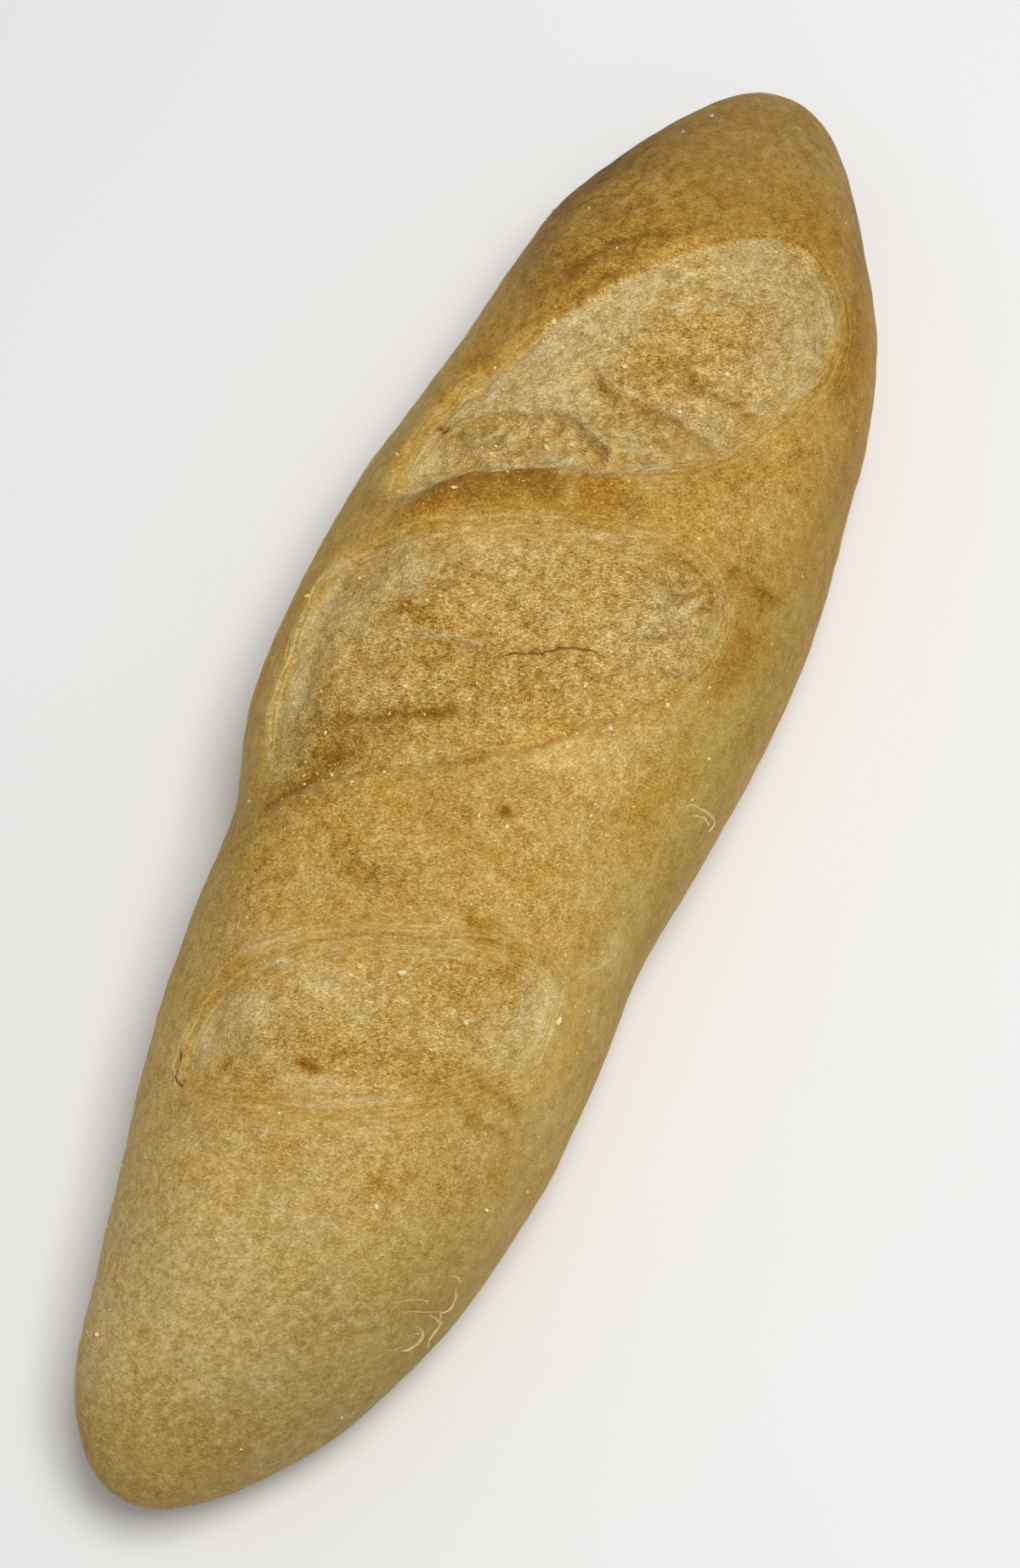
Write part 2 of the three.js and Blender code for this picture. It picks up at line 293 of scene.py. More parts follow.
def taper(xi, blunt):
    """Half an oval of unit length: the root of one minus |xi| to the power blunt."""
    return np.sqrt(np.clip(1.0 - np.abs(xi) ** blunt, 0.0, 1.0))


def through_stations(values, xi):
    """A cubic through evenly spaced stations, with slopes from the neighbours on either side."""
    slopes = np.gradient(values)
    station = (np.clip(xi, -1.0, 1.0) + 1.0) / 2.0 * (len(values) - 1)
    before = np.minimum(station.astype(int), len(values) - 2)
    t = station - before
    ahead = before + 1
    held = (2 * t**3 - 3 * t**2 + 1) * values[before] + (3 * t**2 - 2 * t**3) * values[ahead]
    leaning = (t**3 - 2 * t**2 + t) * slopes[before] + (t**3 - t**2) * slopes[ahead]
    return held + leaning


def half_width(xi):
    """Half the width of the loaf: an oval in plan, times the fullness at its stations."""
    return WIDTH / 2.0 * taper(xi, PLAN_BLUNT) * through_stations(FULLNESS, xi)


def loaf_points(xi, angle):
    """The bare loaf: a rounded section about its belly line, its lower half pressed flat on the board.

    The section is a superellipse in angle from the crest, as wide as the plan and as high as the
    side view at xi; below the belly it reaches past the board and is cut off level there.
    """
    top = blend(TIP_HEIGHT, HEIGHT, taper(xi, TOP_BLUNT))
    pressed = BASE_PRESS * taper(xi, PRESSED_BLUNT)
    base = np.maximum(0.0, TIP_HEIGHT * (1.0 - taper(xi, BASE_BLUNT)) - pressed)
    belly = blend(base, top, BELLY)
    across = np.sign(np.sin(angle)) * np.abs(np.sin(angle)) ** (2.0 / ROUNDNESS)
    upward = np.sign(np.cos(angle)) * np.abs(np.cos(angle)) ** (2.0 / ROUNDNESS)
    below = (belly - base) * blend(1.0, SQUARED_BASE, taper(xi, PRESSED_BLUNT))
    reach = np.where(upward > 0.0, top - belly, below)
    y = through_stations(DRIFT, xi) + half_width(xi) * across
    z = np.maximum(belly + reach * upward, base)
    return np.stack(np.broadcast_arrays(xi * LENGTH / 2.0, y, z), -1)


def loaf_normals(xi, angle, step=1e-3):
    """Outward directions: the cross product of the steps along and round the bare loaf."""
    along = loaf_points(xi + step, angle) - loaf_points(xi - step, angle)
    around = loaf_points(xi, angle + step) - loaf_points(xi, angle - step)
    outward = np.cross(along, around)
    return outward / np.maximum(np.linalg.norm(outward, axis=-1, keepdims=True), 1e-9)


def dough_noise(points, wavelength, seed):
    """A sum of plane waves with random directions and phases near one wavelength, of unit spread."""
    draw = np.random.default_rng(seed)
    heading = draw.normal(size=(3, NOISE_WAVES))
    heading /= np.linalg.norm(heading, axis=0)
    turns = 2.0 * np.pi / (wavelength * draw.uniform(*NOISE_SPREAD, NOISE_WAVES))
    phase = draw.uniform(0.0, 2.0 * np.pi, NOISE_WAVES)
    return np.cos(points @ (heading * turns) + phase).sum(-1) * math.sqrt(2.0 / NOISE_WAVES)


def layered_noise(points, layers):
    """The sum of layers of dough noise, each times its height."""
    return sum(height * dough_noise(points, wavelength, seed) for height, wavelength, seed in layers)


def ridged_noise(points, layers):
    """Sharp crests: one minus twice the size of the noise, cut off at minus one, times each height."""
    return sum(height * np.maximum(1.0 - 2.0 * np.abs(dough_noise(points, wavelength, seed)), -1.0)
               for height, wavelength, seed in layers)


def fold_waves(here):
    """Wrinkles: bells in x and round, each times a bent cosine wave that runs along its heading."""
    total = np.zeros_like(here.x)
    bend = layered_noise(here.base, FOLD_BEND)
    for x, around, reach, width, heading, wavelength, height in FOLDS:
        turn = math.radians(heading)
        across = (here.x - x) * math.cos(turn) + (here.round - around) * math.sin(turn)
        wave = np.cos(2.0 * np.pi * across / wavelength + bend)
        total += height * wave * bell(here.x - x, reach) * bell(here.round - around, width)
    return total


def catmull_rom(a, b, c, d, t):
    """The cubic from b to c whose slopes are half of c - a and half of d - b."""
    return 0.5 * (2 * b + (c - a) * t + (2 * a - 5 * b + 4 * c - d) * t**2 + (3 * b - a - 3 * c + d) * t**3)


def smooth_line(points, steps=LINE_STEPS):
    """An open curve through the points: Catmull-Rom, with the end points mirrored."""
    p = np.array(points, float)
    p = np.concatenate([2 * p[:1] - p[1:2], p, 2 * p[-1:] - p[-2:-1]])
    place = np.linspace(0, len(points) - 1, steps * (len(points) - 1) + 1)
    before = np.minimum(place.astype(int), len(points) - 2)
    return catmull_rom(p[before], p[before + 1], p[before + 2], p[before + 3], (place - before)[:, None])


def smooth_outline(points):
    """A closed curve through the points: Catmull-Rom all the way round, its first point repeated last."""
    p = np.array(points, float)
    count = len(p)
    place = np.arange(OUTLINE_STEPS + 1) * count / OUTLINE_STEPS
    here = np.floor(place).astype(int)
    t = (place - here)[:, None]
    here %= count
    return catmull_rom(p[here - 1], p[here], p[(here + 1) % count], p[(here + 2) % count], t)


def beside(line, x, around):
    """Distance to a curve, positive on its right-hand side, and the share of its length passed.

    The nearest straight run of the curve gives both. The sign is that of the cross product of
    the way from the run's start with the run.
    """
    start = line[:-1]
    run = line[1:] - start
    length = np.linalg.norm(run, axis=1)
    way = np.stack([x, around], -1)[..., None, :] - start
    share = np.clip((way * run).sum(-1) / length**2, 0.0, 1.0)
    distance = np.linalg.norm(way - share[..., None] * run, axis=-1)
    nearest = distance.argmin(-1)[..., None]
    turn = way[..., 0] * run[:, 1] - way[..., 1] * run[:, 0]
    passed = (np.concatenate([[0.0], np.cumsum(length)[:-1]]) + share * length) / length.sum()
    side = np.take_along_axis(np.where(turn < 0.0, -distance, distance), nearest, -1)[..., 0]
    return side, np.take_along_axis(passed, nearest, -1)[..., 0]


def inside_distance(edge, x, around):
    """Distance to a closed outline, positive inside: inside is an odd count of crossings to +x."""
    start = edge[:-1]
    run = edge[1:] - start
    way = np.stack([x, around], -1)[..., None, :] - start
    share = np.clip((way * run).sum(-1) / (run**2).sum(-1), 0.0, 1.0)
    distance = np.linalg.norm(way - share[..., None] * run, axis=-1).min(-1)
    spans = (way[..., 1] < 0.0) != (way[..., 1] < run[:, 1])
    slope = run[:, 0] / np.where(run[:, 1] == 0.0, 1.0, run[:, 1])
    ahead = way[..., 0] < way[..., 1] * slope
    odd = (spans & ahead).sum(-1) % 2 == 1
    return np.where(odd, distance, -distance)


def slash_place(slash, x, around, wobble):
    """A slash's own coordinates: distance inside its edge, share along it and distance to its near side."""
    tip = np.array(slash.tip, float)
    run = np.array(slash.end, float) - tip
    from_x = x - tip[0]
    from_round = around - tip[1]
    at = SimpleNamespace()
    at.smooth = inside_distance(smooth_outline(slash.outline), x, around)
    at.inside = at.smooth + wobble
    at.along = (from_x * run[0] + from_round * run[1]) / (run @ run)
    at.near = (from_x * run[1] - from_round * run[0]) / np.linalg.norm(run)
    return at


def by_side(value, at):
    """A value by side, softly changed over from the far to the near side."""
    turned = soft_step(at.along, *value.turn)
    near_share = soft_step(at.near, *SIDE_CHANGE)
    return blend(blend(*value.far, turned), blend(*value.near, turned), near_share)


def place_on_loaf(xi, angle):
    """Base point, outward direction and (x, round) of each place, with every slash's own coordinates."""
    here = SimpleNamespace(xi=xi, angle=angle)
    here.base = loaf_points(xi, angle)
    here.outward = loaf_normals(xi, angle)
    here.x = here.base[..., 0]
    here.round = CREST_ARC * half_width(xi) * angle
    wobble = layered_noise(here.base, EDGE_WOBBLE)
    here.slash = {name: slash_place(slash, here.x, here.round, wobble) for name, slash in SLASHES.items()}
    ragged = layered_noise(here.base, TEAR_WOBBLE)
    here.tears = [beside(smooth_line(torn.line), here.x, here.round) for torn in TEARS]
    here.tears = [(side + ragged, passed) for side, passed in here.tears]
    here.rims = [beside(smooth_line(raised.line), here.x, here.round) for raised in RIMS]
    here.crags = crags(here)
    here.folds = fold_waves(here)
    return here


def fade_ends(passed):
    """1 along a line, falling to 0 over a share of its length at both ends."""
    return soft_step(passed, 0.0, LINE_ENDS) * soft_step(1.0 - passed, 0.0, LINE_ENDS)


def slash_relief(slash, at):
    """A sunken bed that swells in its middle, and an ear rolled up along the near side.

    The bed is as deep as sink at the tip and shallower towards the end. The ear rises from the
    edge as a quarter round, then falls away as a bell.
    """
    opened = 1.0 - BED_LOSS * soft_step(at.along, *BED_SHALLOW)
    edge = by_side(slash.edge, at)
    bed = -slash.sink * opened * soft_step(at.inside, -edge, edge)
    swell = slash.swell * soft_step(at.inside, *BED_SWELL)
    outside = np.clip(-at.inside, 0.0, None)
    quarter = np.sqrt(np.clip(1.0 - (1.0 - outside / EAR_SET_BACK) ** 2, 0.0, 1.0))
    roll = np.where(outside < EAR_SET_BACK, quarter, bell(outside - EAR_SET_BACK, EAR_WIDTH))
    side = soft_step(at.near, *EAR_SIDE) * soft_step(at.along, -EAR_START, EAR_START)
    side *= 1.0 - soft_step(at.along, slash.ear_reach, slash.ear_reach + EAR_FADE)
    return bed + swell + slash.ear * side * roll


def tear_relief(torn, side, passed):
    """A groove, a step down that recovers over some distance on the near side, and a lip opposite."""
    groove = -torn.groove * bell(side, torn.width)
    step = -torn.drop * soft_step(side, *TEAR_STEP) * bell(np.maximum(side, 0.0), torn.recover)
    lip = torn.lip * bell(side + LIP_OFFSET, LIP_WIDTH)
    return (groove + step + lip) * fade_ends(passed)


def bed_share(here, name):
    """1 in the bed of a slash, 0 outside it."""
    return soft_step(here.slash[name].inside, *BED_START)


def crags(here):
    """Rough torn dough: ridged noise in the far bed's lower terrace, softer noise in every bed."""
    far = here.slash["far"]
    terrace = bed_share(here, "far") * soft_step(far.near, *TERRACE_SIDE)
    terrace = terrace * (1.0 - TERRACE_LOSS * soft_step(far.along, *TERRACE_END))
    height = terrace * (ridged_noise(here.base, TERRACE_RIDGES) + layered_noise(here.base, TERRACE_FINE))
    for name, layers in BED_ROUGHNESS.items():
        height = height + bed_share(here, name) * layered_noise(here.base, layers)
    return height


def crust_relief(here):
    """Height over the bare loaf: slashes, tears, rims, crags, waist and lumps, faded at base and tips."""
    height = sum(slash_relief(slash, here.slash[name]) for name, slash in SLASHES.items())
    for torn, (side, passed) in zip(TEARS, here.tears):
        height = height + tear_relief(torn, side, passed)
    for raised, (side, passed) in zip(RIMS, here.rims):
        height = height + raised.height * bell(side, RIM_WIDTH) * fade_ends(passed)
    height = height + here.crags + here.folds - soft_spots(PITS, here)
    flank = soft_step(np.abs(here.round), *WAIST.flank)
    height = height - WAIST.depth * flank * bell(here.x - WAIST.x, WAIST.reach)
    crown = 1.0 - soft_step(np.abs(here.round), *CROWN)
    for amount, along, around, phase in LUMPS:
        wave = 2.0 * np.pi * (here.x / along + here.round / around) + phase
        height = height + amount * crown * np.sin(wave)
    height = height + layered_noise(here.base, CRUST_WAVES)
    underside = 1.0 - soft_step(np.abs(here.angle), *UNDERSIDE)
    return height * underside * taper(here.xi, RELIEF_BLUNT)


# Browning, flour and shade, as soft spots: x, round, reach along x, reach round, amount
HOLE = (56, 33.2, 0.9, 1.2)
STRIP_SPOT = (-12.4, -12, 1.2, 1.6)
NEAR_SPOT = (-70.3, 2.5, 1.0, 2.2)
CRUST_BAKE = 0.55
CRUST_SPOTS = [
    # The far end and the band beyond the far slash
    (140, 0, 28, 70, -0.06), (116, 34, 26, 22, 0.18), (72.5, 33.5, 3.5, 3.5, 0.2), (102, 9, 6, 6, 0.06),
    (132, 24, 18, 20, 0.08), (105, -36, 12, 6, 0.1), (90, 18, 6, 5, 0.14),
    # The far slash's hole and ear, and the pale seam across the ear
    (*HOLE, 0.8), (56, -9, 3, 8, -0.2), (53, 2.4, 2.2, 1.4, -0.3), (48.5, 0.6, 2.5, 1.2, -0.25),
    (45, -0.6, 2.2, 1, -0.15),
    # The flanks, and beside the middle slash
    (55, -50, 60, 17, 0.06), (85, -48, 25, 12, 0.12), (10, 48, 25, 8, 0.12), (60, 45, 20, 8, -0.1),
    (34, -40, 8, 6, 0.08), (3, -37, 10, 7, 0.16), (2, -18, 5, 9, -0.12), (10, -31, 9, 6, -0.12),
    (-18, 24, 10, 9, 0.2),
    # The strip between the middle and the near slash
    (-30, 32, 16, 14, 0.1), (-22, -32, 12, 12, -0.02), (-34, -13.4, 1.8, 3, 0.4), (-36, -16, 1.2, 2, 0.3),
    (*STRIP_SPOT, 0.5), (-33, 6, 2.2, 4, 0.16), (-28, 11, 2, 5, 0.12), (-38, -23, 3, 4, 0.22),
    (-26, -46, 4, 5, -0.2), (-22, 0, 14, 18, 0.06),
    # The near end
    (-118, 6, 40, 60, -0.14), (-152, 5, 12, 40, 0.08), (-84.6, -14.6, 2.0, 2.2, 0.3), (-85, 24, 3, 3, 0.15),
    (-74, -36, 6, 3, 0.12), (-100, -28, 12, 10, 0.06),
]
BED_BAKE = {"near": 0.53, "middle": 0.54, "far": 0.38}
BED_SPOTS = [
    # Far slash: toasted floor, cream borders, terrace, hole
    (83, -5, 8, 7, 0.2), (75, 0, 3, 6, 0.1), (93, -6, 5, 5, 0.12), (95, 6, 7, 5, -0.22),
    (84, 14, 7, 5, -0.22), (74, 18, 7, 6, -0.2), (66, 14, 5, 9, -0.12), (56, 16, 5, 12, 0.1),
    (63, -8, 5, 10, 0.05), (110, -10, 8, 8, -0.1), (100, -24, 10, 5, -0.12), (54, 4, 3, 6, -0.35),
    (46, 30, 6, 5, -0.15), (*HOLE, 0.9), (66, 28, 9, 4, -0.15),
    # Middle slash: cream left and upper border, speckled centre, brown lanes, white end
    (12, 38, 10, 5, -0.3), (-8, 35, 9, 4, -0.28), (24, 19, 6, 7, -0.18), (15, 28, 7, 6, -0.18),
    (34, 8, 4, 10, -0.12), (16.9, 14, 1.6, 7, 0.26), (15.8, 4, 1.6, 4, 0.16), (9, 3, 2.5, 9, 0.14),
    (5, 14, 3, 5, 0.08), (-14, 22, 8, 7, 0.16), (18.6, 34.3, 1.5, 2, 0.3), (8, -12, 5, 6, 0.05),
    (36, -24, 6, 7, -0.28), (25, -22, 5, 5, -0.15),
    # Near slash: cream patches, brown middle and dark spots
    (-56, 5, 4, 6, -0.3), (-64, 15, 4, 5, -0.38), (-73, 24, 5, 4, -0.3), (-52, -25, 5, 3, -0.2),
    (-39.6, -22, 2, 2.6, 0.22), (-73, -3, 3, 9, -0.15), (-44, -30, 9, 5, -0.3), (-61, -12, 4, 8, 0.1),
    (*NEAR_SPOT, 0.6), (-77, 12, 4, 9, 0.1), (-48, -12, 4, 6, 0.06), (-59, 12, 3, 3, 0.1),
    (-66, 4, 3, 5, 0.1),
]
FLOUR_SPOTS = [
    # Far slash
    (102, -22, 9, 7, 0.25), (90, -24, 7, 5, 0.2), (108, -12, 6, 8, 0.1), (72, 14, 12, 6, 0.25),
    (63, -4, 4, 9, 0.3), (57, 18, 4, 9, 0.2), (54, 3.5, 2, 4, 0.3),
    # Middle slash
    (36, -25, 5, 5, 0.15), (41, -23, 4, 5, 0.12), (14, 37, 7, 4, 0.35), (24, 18, 4, 4, 0.25),
    (14, 27, 4, 4, 0.25), (28, 0, 9, 10, 0.12),
    # Near slash and the near end
    (-56, 5, 4, 5, 0.2), (-65, 15, 4, 4, 0.25), (-72, 24, 5, 3, 0.2), (-52, -25, 5, 3, 0.15),
    (-73, -2, 4, 12, 0.15), (-118, 10, 34, 40, 0.3),
]
# Painted shade: each spot darkens the crust's colour where it lies in shade
SHADE_SPOTS = [
    # The near end's right flank and tip
    (-116, -46, 40, 20, 0.4), (-152, 6, 14, 40, 0.22), (-126, -15, 26, 18, 0.42), (-110, 16, 14, 12, 0.18),
    # The far end and the band beyond the far slash
    (142, 4, 22, 60, 0.7), (120, 0, 12, 10, 0.2), (126, 30, 22, 14, 0.5), (124, -32, 20, 12, 0.3),
    (112, 36, 26, 18, 0.3), (94, 29, 18, 9, 0.35),
    # The terrace, the slope of the ear, the dark spots and the hole
    (54, 25, 4, 6, 0.3), (57, 12, 4, 8, 0.25), (42, 22, 4, 7, 0.3), (37, 36, 3, 7, 0.45),
    (50, 4, 2.5, 9, 0.25), (*NEAR_SPOT, 0.6), (-39.6, -22, 1.6, 2.4, 0.15), (*HOLE, 0.9),
    (-33, 6, 2.5, 6, 0.25), (*STRIP_SPOT, 0.4),
    # Painted shade that greys the flour: the white end of the middle slash, the right of the far one
    (38, -23, 6, 7, 0.15), (103, -21, 10, 7, 0.18),
    # The right flank, and the left flank by the far and the near slash
    (60, -56, 60, 16, 0.25), (-20, -58, 40, 14, 0.2), (58, 46, 26, 9, 0.2), (-30, 36, 18, 12, 0.2),
]
# Painted shade hue: crust made greener where it lies in shade
OLIVE_SPOTS = [
    (10, -50, 60, 16, 0.9), (-110, -42, 50, 26, 0.7), (-130, 10, 40, 50, 0.4), (60, 47, 30, 12, 0.6),
    (-60, 46, 60, 12, 0.5), (-28, 32, 16, 12, 0.4),
]
# Painted light: crust made lighter where it catches more light
LIFT_SPOTS = [
    (72, 18, 14, 9, 0.14), (84, -5, 10, 8, 0.04), (102, 2, 8, 6, 0.06), (47, 33, 5, 4, 0.25),
    (35, 12, 5, 14, 0.08), (5, 37, 20, 4, 0.2), (2, 27, 8, 6, 0.15), (2, -18, 6, 10, 0.18),
    (12, -30, 8, 5, 0.05), (0, -48, 30, 8, 0.1), (-22, -32, 12, 10, 0.05), (-28, 12, 7, 8, 0.12),
    (-45, -32, 9, 2.5, 0.15), (-50, -38, 9, 5, 0.1),
]
# Rougher, more flecked grain: the wrinkled patch of the strip and the middle slash's white end
ROUGH_SPOTS = [(-32, 5, 3, 6, 0.9), (38, -22, 6, 7, 0.3)]

# Browned bands outside the edges: amount, set-back from the edge and width
BAND_BEYOND = (0.13, 5.0, 8.0)
BAND_ON_EAR = (0.42, 3.5, 6.0)
BAND_FAR_END = (0.14, 4.0, 7.0)
BAND_MIDDLE_END = (0.12, 4.0, 7.0)
BEYOND_SIDE = (2.0, 10.0)
EAR_BROWN_END = (0.24, 0.44)
EAR_BROWN_LOSS = 0.75
FAR_END = (0.8, 1.0)
MIDDLE_END = (0.75, 1.0)
UNDERSIDE_BAKE = 0.12

# How much crags and folds count, each cut off at a height in millimetres: painted shade in their hollows,
# paler crests that are partly flour and partly painted highlight on the crags, painted highlight on the
# folds
CRAG_LIMIT = 0.8
CRAG_SHADE = 0.2
CRAG_FLOUR_AND_HIGHLIGHT = 0.2
FOLD_LIMIT = 0.3
FOLD_PAINTED_HIGHLIGHT = 0.6
# Flour on the palest rims, and how much sooner a tear's shade ends on its far side
RIM_FLOUR = 0.35
RIM_FLOUR_FROM = (0.5, 1.0)
RIM_FLOUR_WIDTH = 0.9
SHADE_UPHILL = 3.0

# Strength of the felt, its flecks and its specks
FELT_FLANK = (25.0, 45.0)
FELT_BROWN = (0.62, 0.85)
FELT_FAR_END = (95.0, 125.0)
FELT_NEAR_END = (80.0, 100.0)
FELT_LOSS = SimpleNamespace(flank=0.3, brown=0.25, ends=0.15, brown_bed=0.3, shade=0.5)
TORN_FELT = (1.2, 1.4)
TORN_FELT_CHANGE = (-40.0, -28.0)
TORN_BROWN = (0.6, 0.85)
ROUGH_FELT = 0.4
FLECKS = (0.15, 0.7)
FLECK_END = (95.0, 120.0)
SPECK_FLANK = 0.6
SPECK_BED = 0.2


def soft_spots(spots, here):
    """The sum of bells in x and round, each times its amount."""
    total = np.zeros_like(here.x)
    for x, around, reach, width, amount in spots:
        total += amount * bell(here.x - x, reach) * bell(here.round - around, width)
    return total


def browned_band(at, amount, set_back, width):
    """Browning outside a slash: a bell about the line set back from its edge."""
    return amount * bell(at.inside + set_back, width)


def crust_bake(here):
    """Browning of the outer crust: darker beside the far slash and on its ear, with soft spots."""
    far = here.slash["far"]
    middle = here.slash["middle"]
    beyond = soft_step(-far.near, *BEYOND_SIDE)
    on_ear = soft_step(far.near, *EAR_SIDE) * (1.0 - EAR_BROWN_LOSS * soft_step(far.along, *EAR_BROWN_END))
    bake = CRUST_BAKE + soft_spots(CRUST_SPOTS, here)
    bake += beyond * browned_band(far, *BAND_BEYOND)
    bake += on_ear * browned_band(far, *BAND_ON_EAR)
    bake += soft_step(far.along, *FAR_END) * browned_band(far, *BAND_FAR_END)
    bake += soft_step(middle.along, *MIDDLE_END) * browned_band(middle, *BAND_MIDDLE_END)
    return bake + UNDERSIDE_BAKE * soft_step(np.abs(here.angle), *UNDERSIDE)


def bed_bake(here):
    """Browning of the beds: each slash's own value and soft spots.

    Where beds meet, a value counts by e to the power of the distance inside its slash.
    """
    bake = np.zeros_like(here.x)
    weight = np.full_like(here.x, 1e-6)
    for name, value in BED_BAKE.items():
        share = np.exp(np.clip(here.slash[name].inside, -30.0, 30.0))
        bake += value * share
        weight += share
    return bake / weight + soft_spots(BED_SPOTS, here)


def strongest(lines, strengths, reach):
    """The signed distance to whichever line shows most at each place, and how strongly it shows."""
    distances = np.array([side for side, _ in lines])
    full = np.array([strength * fade_ends(passed) for (_, passed), strength in zip(lines, strengths)])
    best = np.argmax(full * bell(distances, reach), 0)[None]
    side = np.take_along_axis(distances, best, 0)[0]
    shown = np.take_along_axis(full, best, 0)[0] * soft_step(np.abs(side), 2.0 * reach, reach)
    return side, shown


def crust_shade(here):
    """Painted shade in soft spots, in hollows of rough dough and in crevices.

    Crevices are the hollows of folds and a bell on each tear, narrower on its far side.
    """
    shade = soft_spots(SHADE_SPOTS, here) + CRAG_SHADE * np.clip(-here.crags, 0.0, CRAG_LIMIT)
    crevice = np.clip(-here.folds, 0.0, FOLD_LIMIT)
    for torn, (side, passed) in zip(TEARS, here.tears):
        below = bell(np.where(side < 0.0, SHADE_UPHILL * side, side), torn.shade_reach)
        crevice += torn.shade * below * fade_ends(passed)
    return np.clip(shade, 0.0, 1.0), np.clip(crevice, 0.0, 1.0)


def crust_grain(here, crust, bed, inside, shade):
    """Strength of the felt, of its dark flecks and of its light specks.

    The felt is weaker on steep and on brown crust, at both ends and in hollows.
    """
    flank = soft_step(np.abs(here.round), *FELT_FLANK)
    brown = soft_step(crust, *FELT_BROWN)
    outer = (1.0 - FELT_LOSS.flank * flank) * (1.0 - FELT_LOSS.brown * brown)
    outer = outer * (1.0 - FELT_LOSS.ends * soft_step(here.x, *FELT_FAR_END))
    outer = outer * (1.0 - FELT_LOSS.ends * soft_step(-here.x, *FELT_NEAR_END))
    torn = blend(*TORN_FELT, soft_step(here.x, *TORN_FELT_CHANGE))
    torn = torn * (1.0 - FELT_LOSS.brown_bed * soft_step(bed, *TORN_BROWN))
    rough = soft_spots(ROUGH_SPOTS, here)
    felt = (blend(outer, torn, inside) + ROUGH_FELT * rough) * (1.0 - FELT_LOSS.shade * shade)
    fleck = blend(*FLECKS, inside) * (1.0 - soft_step(here.x, *FLECK_END))
    speck = blend(np.maximum(SPECK_FLANK * flank, brown), SPECK_BED, inside)
    return np.stack([felt, (fleck + rough) * (1.0 - shade), speck], -1)


def crust_attributes(here):
    """What the crust's finish reads: bed edge, browning and flour, dark stains, pale rims, grain, and
    painted light and shade, as vectors.

    Edge softness, thin line and streaks are those of the slash whose bed is nearest.
    """
    distances = [at.smooth for at in here.slash.values()]
    nearest = np.argmax(distances, 0)
    softness, line, streak = (
        np.choose(nearest, [by_side(getattr(slash, sort), here.slash[name])
                            for name, slash in SLASHES.items()])
        for sort in ("edge", "line", "streak"))
    stain_side, stain = strongest(here.tears, [torn.stain for torn in TEARS], STAIN_REACH)
    rim_side, pale = strongest(here.rims, [raised.pale for raised in RIMS], RIM_REACH)
    depth = np.max(distances, 0)
    inside = soft_step(depth, -softness, softness)
    crust = crust_bake(here)
    bed = bed_bake(here)
    shade, crevice = crust_shade(here)
    flour = soft_spots(FLOUR_SPOTS, here)
    # Crests of crags and folds take the flour colour: on crags partly flour, partly painted highlight; on
    # folds painted highlight
    flour += CRAG_FLOUR_AND_HIGHLIGHT * np.clip(here.crags, 0.0, CRAG_LIMIT)
    flour += FOLD_PAINTED_HIGHLIGHT * inside * np.clip(here.folds, 0.0, FOLD_LIMIT)
    flour += RIM_FLOUR * soft_step(pale, *RIM_FLOUR_FROM) * bell(rim_side, RIM_FLOUR_WIDTH)
    return {
        "bed_edge": np.stack([depth, softness, line], -1),
        "bake": np.stack([crust, bed, flour], -1),
        # The stain vector's third value is painted shade
        "stain": np.stack([stain_side, stain, shade], -1),
        "rim": np.stack([rim_side, pale, streak], -1),
        # The tint vector is painted: greener hue in shade, painted light of lifts, painted shade in
        # crevices
        "tint": np.stack([soft_spots(OLIVE_SPOTS, here), soft_spots(LIFT_SPOTS, here), crevice], -1),
        "grain": crust_grain(here, crust, bed, inside, np.maximum(shade, crevice)),
    }


# The crust's grid: finer over the crest and at the ends
RINGS = 404
SPOKES = 236
END_CLUSTER = 0.3
TOP_CLUSTER = 0.5


def crust_grid():
    """xi of the rings and angle of the spokes, each clustered by blending a straight and a curved count."""
    share = (np.arange(RINGS) + 1.0) / (RINGS + 1.0)
    xi = blend(2.0 * share - 1.0, -np.cos(np.pi * share), END_CLUSTER)
    turn = 2.0 * np.arange(SPOKES) / SPOKES - 1.0
    angle = np.pi * blend(turn, turn**3, TOP_CLUSTER)
    return np.broadcast_arrays(xi[:, None], angle[None, :])


def closed_grid_faces(rings, spokes):
    """Triangles of a closed skin: first pole, ring after ring, last pole."""
    spoke = np.arange(spokes)
    following = (spoke + 1) % spokes
    here = 1 + spokes * np.arange(rings - 1)[:, None]
    ahead = here + spokes
    lower = np.stack([here + spoke, ahead + spoke, here + following], -1)
    upper = np.stack([here + following, ahead + spoke, ahead + following], -1)
    last_ring = 1 + spokes * (rings - 1)
    first = np.stack([np.zeros_like(spoke), 1 + spoke, 1 + following], -1)
    last = np.stack([last_ring + following, last_ring + spoke, np.full_like(spoke, last_ring + spokes)], -1)
    return np.concatenate([first, np.stack([lower, upper], 2).reshape(-1, 3), last])


